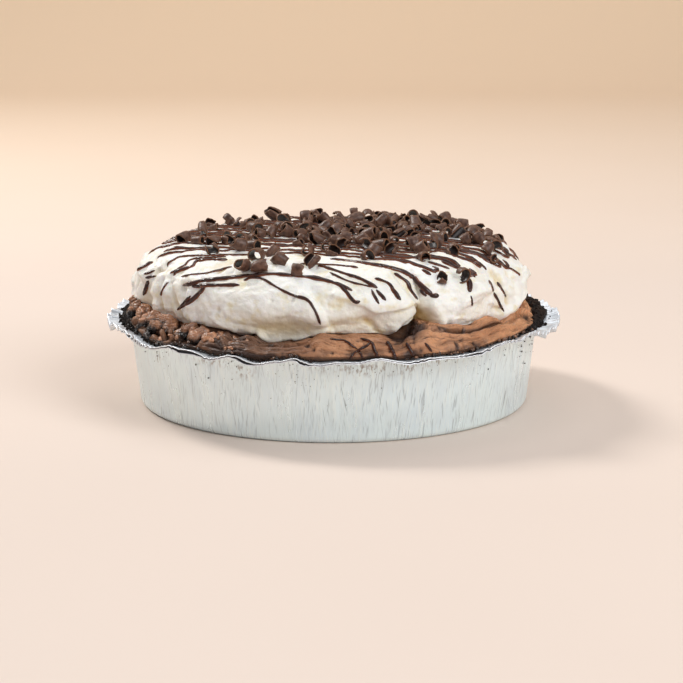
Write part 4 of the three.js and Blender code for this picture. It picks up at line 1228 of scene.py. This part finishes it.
# The same for the strokes on the filling.
FILLING_LINES = [
    ([(330, 339.2), (343.8, 340.8), (357.6, 349.2)], 0.9),
    ([(371.3, 343), (357.6, 350.7), (348.4, 360)], 1.0),
    ([(360.6, 338.5), (371.3, 343), (374.4, 349.2), (379.7, 360)], 1.1),
    ([(386.6, 341.5), (397.3, 359.9)], 1.7), ([(390, 342), (394, 343)], 1.0),
    ([(406.5, 343), (414.2, 356.8)], 1.3), ([(424.9, 343), (432.6, 352.3)], 1.0),
    ([(359, 350.7), (363.7, 360)], 0.9),
]
BACK_LINES = dict(first=-57.0, last=93.0, apart=4.6, spread=3.4, reach=97.5, lowest=64)


def back_lines():
    """The lines of the rest of the top, seen from above: nearly parallel, each with its own wave."""
    roll = dice(211)
    offset = BACK_LINES["first"]
    while offset < BACK_LINES["last"]:
        slope = -0.32 + 0.1 * (roll() - 0.5)
        stretch = math.hypot(1, slope)
        middle = -offset * slope / stretch ** 2
        half = math.sqrt(max(0, BACK_LINES["reach"] ** 2 - (offset / stretch) ** 2)) / stretch
        phase, size = roll() * TURN, 0.5 + 0.9 * roll()
        start = middle - half * (0.84 + 0.16 * roll())
        end = middle + half * (0.84 + 0.16 * roll())
        xs = np.linspace(start, end, max(8, int(half * 5)))
        ys = offset + slope * xs + size * np.sin(xs / 19 + phase)
        ys = ys + 0.3 * np.sin(xs / 4.3 + 2 * phase)
        wide = 1.3 + 1.0 * roll()
        hook = roll() < 0.35
        if hook:
            turn = np.linspace(0, 1, 12)[1:]
            xs = np.append(xs, end + 2.5 * np.sin(turn * math.pi))
            ys = np.append(ys, ys[-1] + 5.0 * turn)
        yield list(zip(xs, ys)), wide
        offset += BACK_LINES["apart"] + BACK_LINES["spread"] * roll()


def uneven(count, seed, low, high):
    spots = np.linspace(0, count / 6, count)
    return low + (high - low) * (0.5 + 0.5 * noise(spots, 0 * spots, 0 * spots, seed))


def smooth_line(knots, steps=30):
    """A smooth line through points: (points, 2) to (more points, 2)."""
    p = np.asarray(knots, float)
    p = np.vstack([2 * p[0] - p[1], p, 2 * p[-1] - p[-2]])
    t = np.linspace(0, 1, steps, endpoint=False)[:, None]
    pieces = []
    for a, b, c, d in zip(p, p[1:], p[2:], p[3:]):
        pieces.append(0.5 * (2 * b + (c - a) * t + (2 * a - 5 * b + 4 * c - d) * t ** 2
                             + (3 * b - a - 3 * c + d) * t ** 3))
    return np.vstack([*pieces, p[-2][None]])


def pixel_runs(tree, pixels, seed):
    """Points on a surface along a line of pixels, with a small tremble."""
    u, v = smooth_line(pixels).T
    spots = np.arange(len(u)) / 12
    tremble = 0.45 * noise(spots, 0 * spots, 0 * spots, seed)
    return evenly([seen(tree, a, b) for a, b in zip(u + tremble, v + 0.5 * tremble)], 0.7)


def poured(runs, seed, thin, thick, height):
    """Ribbons along runs of points, each between two widths."""
    return [ribbon_parts(run, uneven(len(run), seed, thin, thick), height) for run in runs]


def cream_lines(tree):
    parts = []
    for number, (pixels, wide) in enumerate(FRONT_LINES):
        parts += poured(pixel_runs(tree, pixels, number), 400 + number, 0.7 * wide, 1.55 * wide, 0.6)
    for number, (path, wide) in enumerate(back_lines()):
        items = [drop(tree, x, y) for x, y in path]
        lowest = BACK_LINES["lowest"]
        items = [item if item is not None and item[0][2] > lowest else None for item in items]
        parts += poured(evenly(items, 1.1), 600 + number, 0.7 * wide, 1.6 * wide, 0.7)
    return make_object("cream_lines", *stack(parts))


def filling_lines(tree):
    parts = []
    for number, (pixels, wide) in enumerate(FILLING_LINES):
        runs = pixel_runs(tree, pixels, 50 + number)
        parts += poured(runs, 500 + number, 1.05 * wide, 1.7 * wide, 0.8)
    return make_object("filling_lines", *stack(parts))


# ---- Chocolate curls ----
def curl_chance(x, y):
    """How likely a curl lies at a place: the heap thins out at the left and at the front."""
    left, front = ease((x + 78) / 50), ease((y + 78 + 0.25 * x) / 50)
    heap = hill(math.hypot((x - 8) / 78, (y - 14) / 62), 1.05)
    return heap * (0.15 + 0.85 * left) * (0.15 + 0.85 * front)


def curl_places():
    """The places of the solid's curls, and after them those of the smaller ones between."""
    roll = dice(97)
    places = list(FRONT_CURLS)
    all_curls = CURLS["count"] + CURLS["extra"]
    for apart, count in ((CURLS["apart"], CURLS["count"]), (CURLS["extra_apart"], all_curls)):
        for _ in range(CURLS["tries"]):
            if len(places) >= count:
                break
            x = (roll() * 2 - 1) * CURLS["reach"]
            y = (roll() * 2 - 1) * CURLS["reach"]
            free = all(math.hypot(px - x, py - y) > apart for px, py in places)
            if free and roll() < curl_chance(x, y) and (cream_top(x, y) or 0) > CURLS["lowest"]:
                places.append((x, y))
    return places


def curl_parts(radius, length, arc, taper, seed):
    """One rolled strip of chocolate, and which of its points lie inside and at an edge."""
    rng = np.random.default_rng(seed)
    steps, across, sheet = 16, 7, 0.7
    turn = np.linspace(0, 1, steps + 1)[:, None]
    wide = np.linspace(-1, 1, across + 1)[None, :]
    blunt = rng.uniform(0.25, 0.75)
    along = np.clip(turn * rng.uniform(0.8, 1.0) + 0.05, 0, 1)
    ends = blunt + (1 - blunt) * np.clip(np.sin(np.pi * along), 0, 1) ** 0.6
    ragged = 1 + 0.12 * np.interp(turn, np.linspace(0, 1, 9), rng.uniform(-1, 1, 9))
    climb = rng.uniform(-0.25, 0.25) * length * (turn - 0.5)
    y = wide * length / 2 * ends * ragged + climb
    cone = 1 + (taper - 1) * (wide + 1) / 2
    cup = 1 - 0.12 * wide ** 2
    scored = 0.1 * np.sin(wide * length * 2.6 + rng.uniform(0, 6))
    scored = scored + 0.06 * rng.uniform(-1, 1, (1, across + 1))
    out = radius * cone * cup * (1 - 0.38 * turn) + scored
    bend = np.radians(arc) * turn + rng.uniform(-0.35, 0.35) * wide * turn
    thick = sheet * (0.4 + 0.6 * np.sin(np.pi * np.clip(turn, 0.04, 0.96)) ** 0.5)
    layers = []
    for r in (out, out - thick):
        layer = np.stack([r * np.cos(bend), y + 0 * r, r * np.sin(bend)], axis=-1)
        layers.append(layer.reshape(-1, 3))
    points = np.vstack(layers)
    row, faces = across + 1, []
    full = (steps + 1) * row
    for i in range(steps):
        for j in range(across):
            a = i * row + j
            faces.append((a, a + 1, a + row + 1, a + row))
            faces.append((full + a, full + a + row, full + a + row + 1, full + a + 1))
    for i in range(steps):
        for a, b in ((i * row, (i + 1) * row), ((i + 1) * row + across, i * row + across)):
            faces.append((a, b, full + b, full + a))
    for j in range(across):
        a, b = j, steps * row + j
        faces.append((a, full + a, full + a + 1, a + 1))
        faces.append((b, b + 1, full + b + 1, full + b))
    inside = np.repeat([0.0, 1.0], full)
    border = np.maximum(np.abs(wide) == 1, (turn == 0) | (turn == 1)).astype(float)
    return points, faces, {"inside": inside, "edge": np.tile(border.ravel(), 2)}


def curls(tree):
    roll = dice(101)
    parts = []
    for number, (x, y) in enumerate(curl_places()):
        size = 1 if number < CURLS["count"] else CURLS["extra_size"]
        radius, length = (3.5 + 1.6 * roll()) * size, (5 + 4 * roll()) * size
        arc, taper = 250 + 90 * roll(), 0.65 + 0.3 * roll()
        tilt, spin, yaw = (roll() - 0.5) * 1.5, roll() * TURN, roll() * TURN
        points, faces, shades = curl_parts(radius, length, arc, taper, 900 + number)
        turn_y, turn_x, turn_z = (np.array(Euler(turn).to_matrix())
                                  for turn in ((0, spin, 0), (tilt, 0, 0), (0, 0, yaw)))
        points = points @ (turn_z @ turn_x @ turn_y).T + (x, y, 0)
        under = [(drop(tree, px, py), pz) for px, py, pz in points[::5]]
        deepest = max(item[0][2] - pz for item, pz in under if item is not None)
        points[:, 2] += deepest - CURLS["sink"]
        parts.append((points, faces, shades))
    return make_object("curls", *stack(parts))


# ---- The pie ----
def finish_piece(piece, material, slot, *nodes):
    piece.data.materials.append(material)
    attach(piece, "root")
    if nodes:
        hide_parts(*nodes)


def build_pie():
    crumbs, chocolate = crumb_material(), line_material()
    finish_piece(foil_tin(), foil_material(), "foil", "foil_tin")
    finish_piece(crust_core(), crumbs, "crumbs", "crumb_crust")
    finish_piece(crust_crumbs(), crumbs, "crumbs")
    finish_piece(foil_specks(), crumbs, "crumbs")
    mousse, whipped = filling(), cream()
    soft = filling_material("filling", MOUSSE, (0.34, 0.6), 0.8, 0.0)
    torn = filling_material("torn_filling", TORN, (0.15, 0.4), 1.0, 0.35)
    finish_piece(mousse, soft, "filling", "chocolate_filling")
    finish_piece(torn_lumps(), torn, "filling")
    finish_piece(whipped, cream_material(), "cream", "whipped_cream")
    surface = tree_of(whipped)
    finish_piece(cream_lines(surface), chocolate, "chocolate")
    finish_piece(filling_lines(tree_of(mousse)), chocolate, "chocolate")
    finish_piece(curls(surface), curl_material(), "chocolate")


# ---- Floor, light and camera ----
def backdrop():
    """A pale floor that bends up into a pale wall behind."""
    depth, bend, top, far, steps = 2600.0, 700.0, 2600.0, 14000.0, 16
    profile = [(-far, 0.0), (depth - bend, 0.0)]
    for step in range(1, steps + 1):
        turn = math.radians(90 * step / steps)
        profile.append((depth - bend + bend * math.sin(turn), bend * (1 - math.cos(turn))))
    profile.append((depth, top))
    points = [(x, y, z) for y, z in profile for x in (-far, far)]
    faces = [(2 * i, 2 * i + 1, 2 * i + 3, 2 * i + 2) for i in range(len(profile) - 1)]
    floor = make_object("floor", np.array(points), faces)
    floor.data.materials.append(floor_material())


def area_light(name, place, target, size, power, colour):
    light = bpy.data.lights.new(name, "AREA")
    light.shape = "RECTANGLE"
    light.size, light.size_y = size
    light.energy = power
    light.color = colour
    made = bpy.data.objects.new(name, light)
    made.location = place
    made.rotation_euler = (Vector(target) - Vector(place)).to_track_quat("-Z", "Y").to_euler()
    bpy.context.collection.objects.link(made)


def light_scene():
    scene = bpy.context.scene
    scene.view_settings.view_transform = "Standard"
    world = bpy.data.worlds.new("studio")
    scene.world = world
    world.use_nodes = True
    sky = world.node_tree.nodes["Background"]
    sky.inputs["Color"].default_value = (0.94, 0.96, 1.0, 1)
    sky.inputs["Strength"].default_value = 0.36
    target = (0, 0, 0.05)
    area_light("key", (-1.15, 0.85, 1.45), target, (0.45, 0.45), 24, (1, 0.98, 0.95))
    area_light("fill", (1.1, -1.15, 1.15), target, (1.1, 0.9), 21, (0.96, 0.985, 1))
    area_light("top", (0.15, 0.35, 1.9), target, (1.7, 1.5), 9, (1, 1, 1))
    area_light("wall", (0.3, 1.5, 1.5), (0.3, 2.5, 0.1), (2.4, 0.5), 2.5, (1, 0.97, 0.93))


def add_camera():
    """The photograph's view, from a camera fitted to the outlines of the tin and the stand."""
    sensor = 36.0
    camera = bpy.data.cameras.new("camera")
    camera.sensor_width = sensor
    camera.lens = CAMERA["focal"] * sensor / FRAME
    camera.clip_end = 20
    made = bpy.data.objects.new("camera", camera)
    made.location = [value * MM for value in CAMERA["place"]]
    made.rotation_euler = (math.pi / 2 - CAMERA["pitch"], 0, 0)
    bpy.context.collection.objects.link(made)
    bpy.context.scene.camera = made


add_camera()
build_pie()
backdrop()
light_scene()
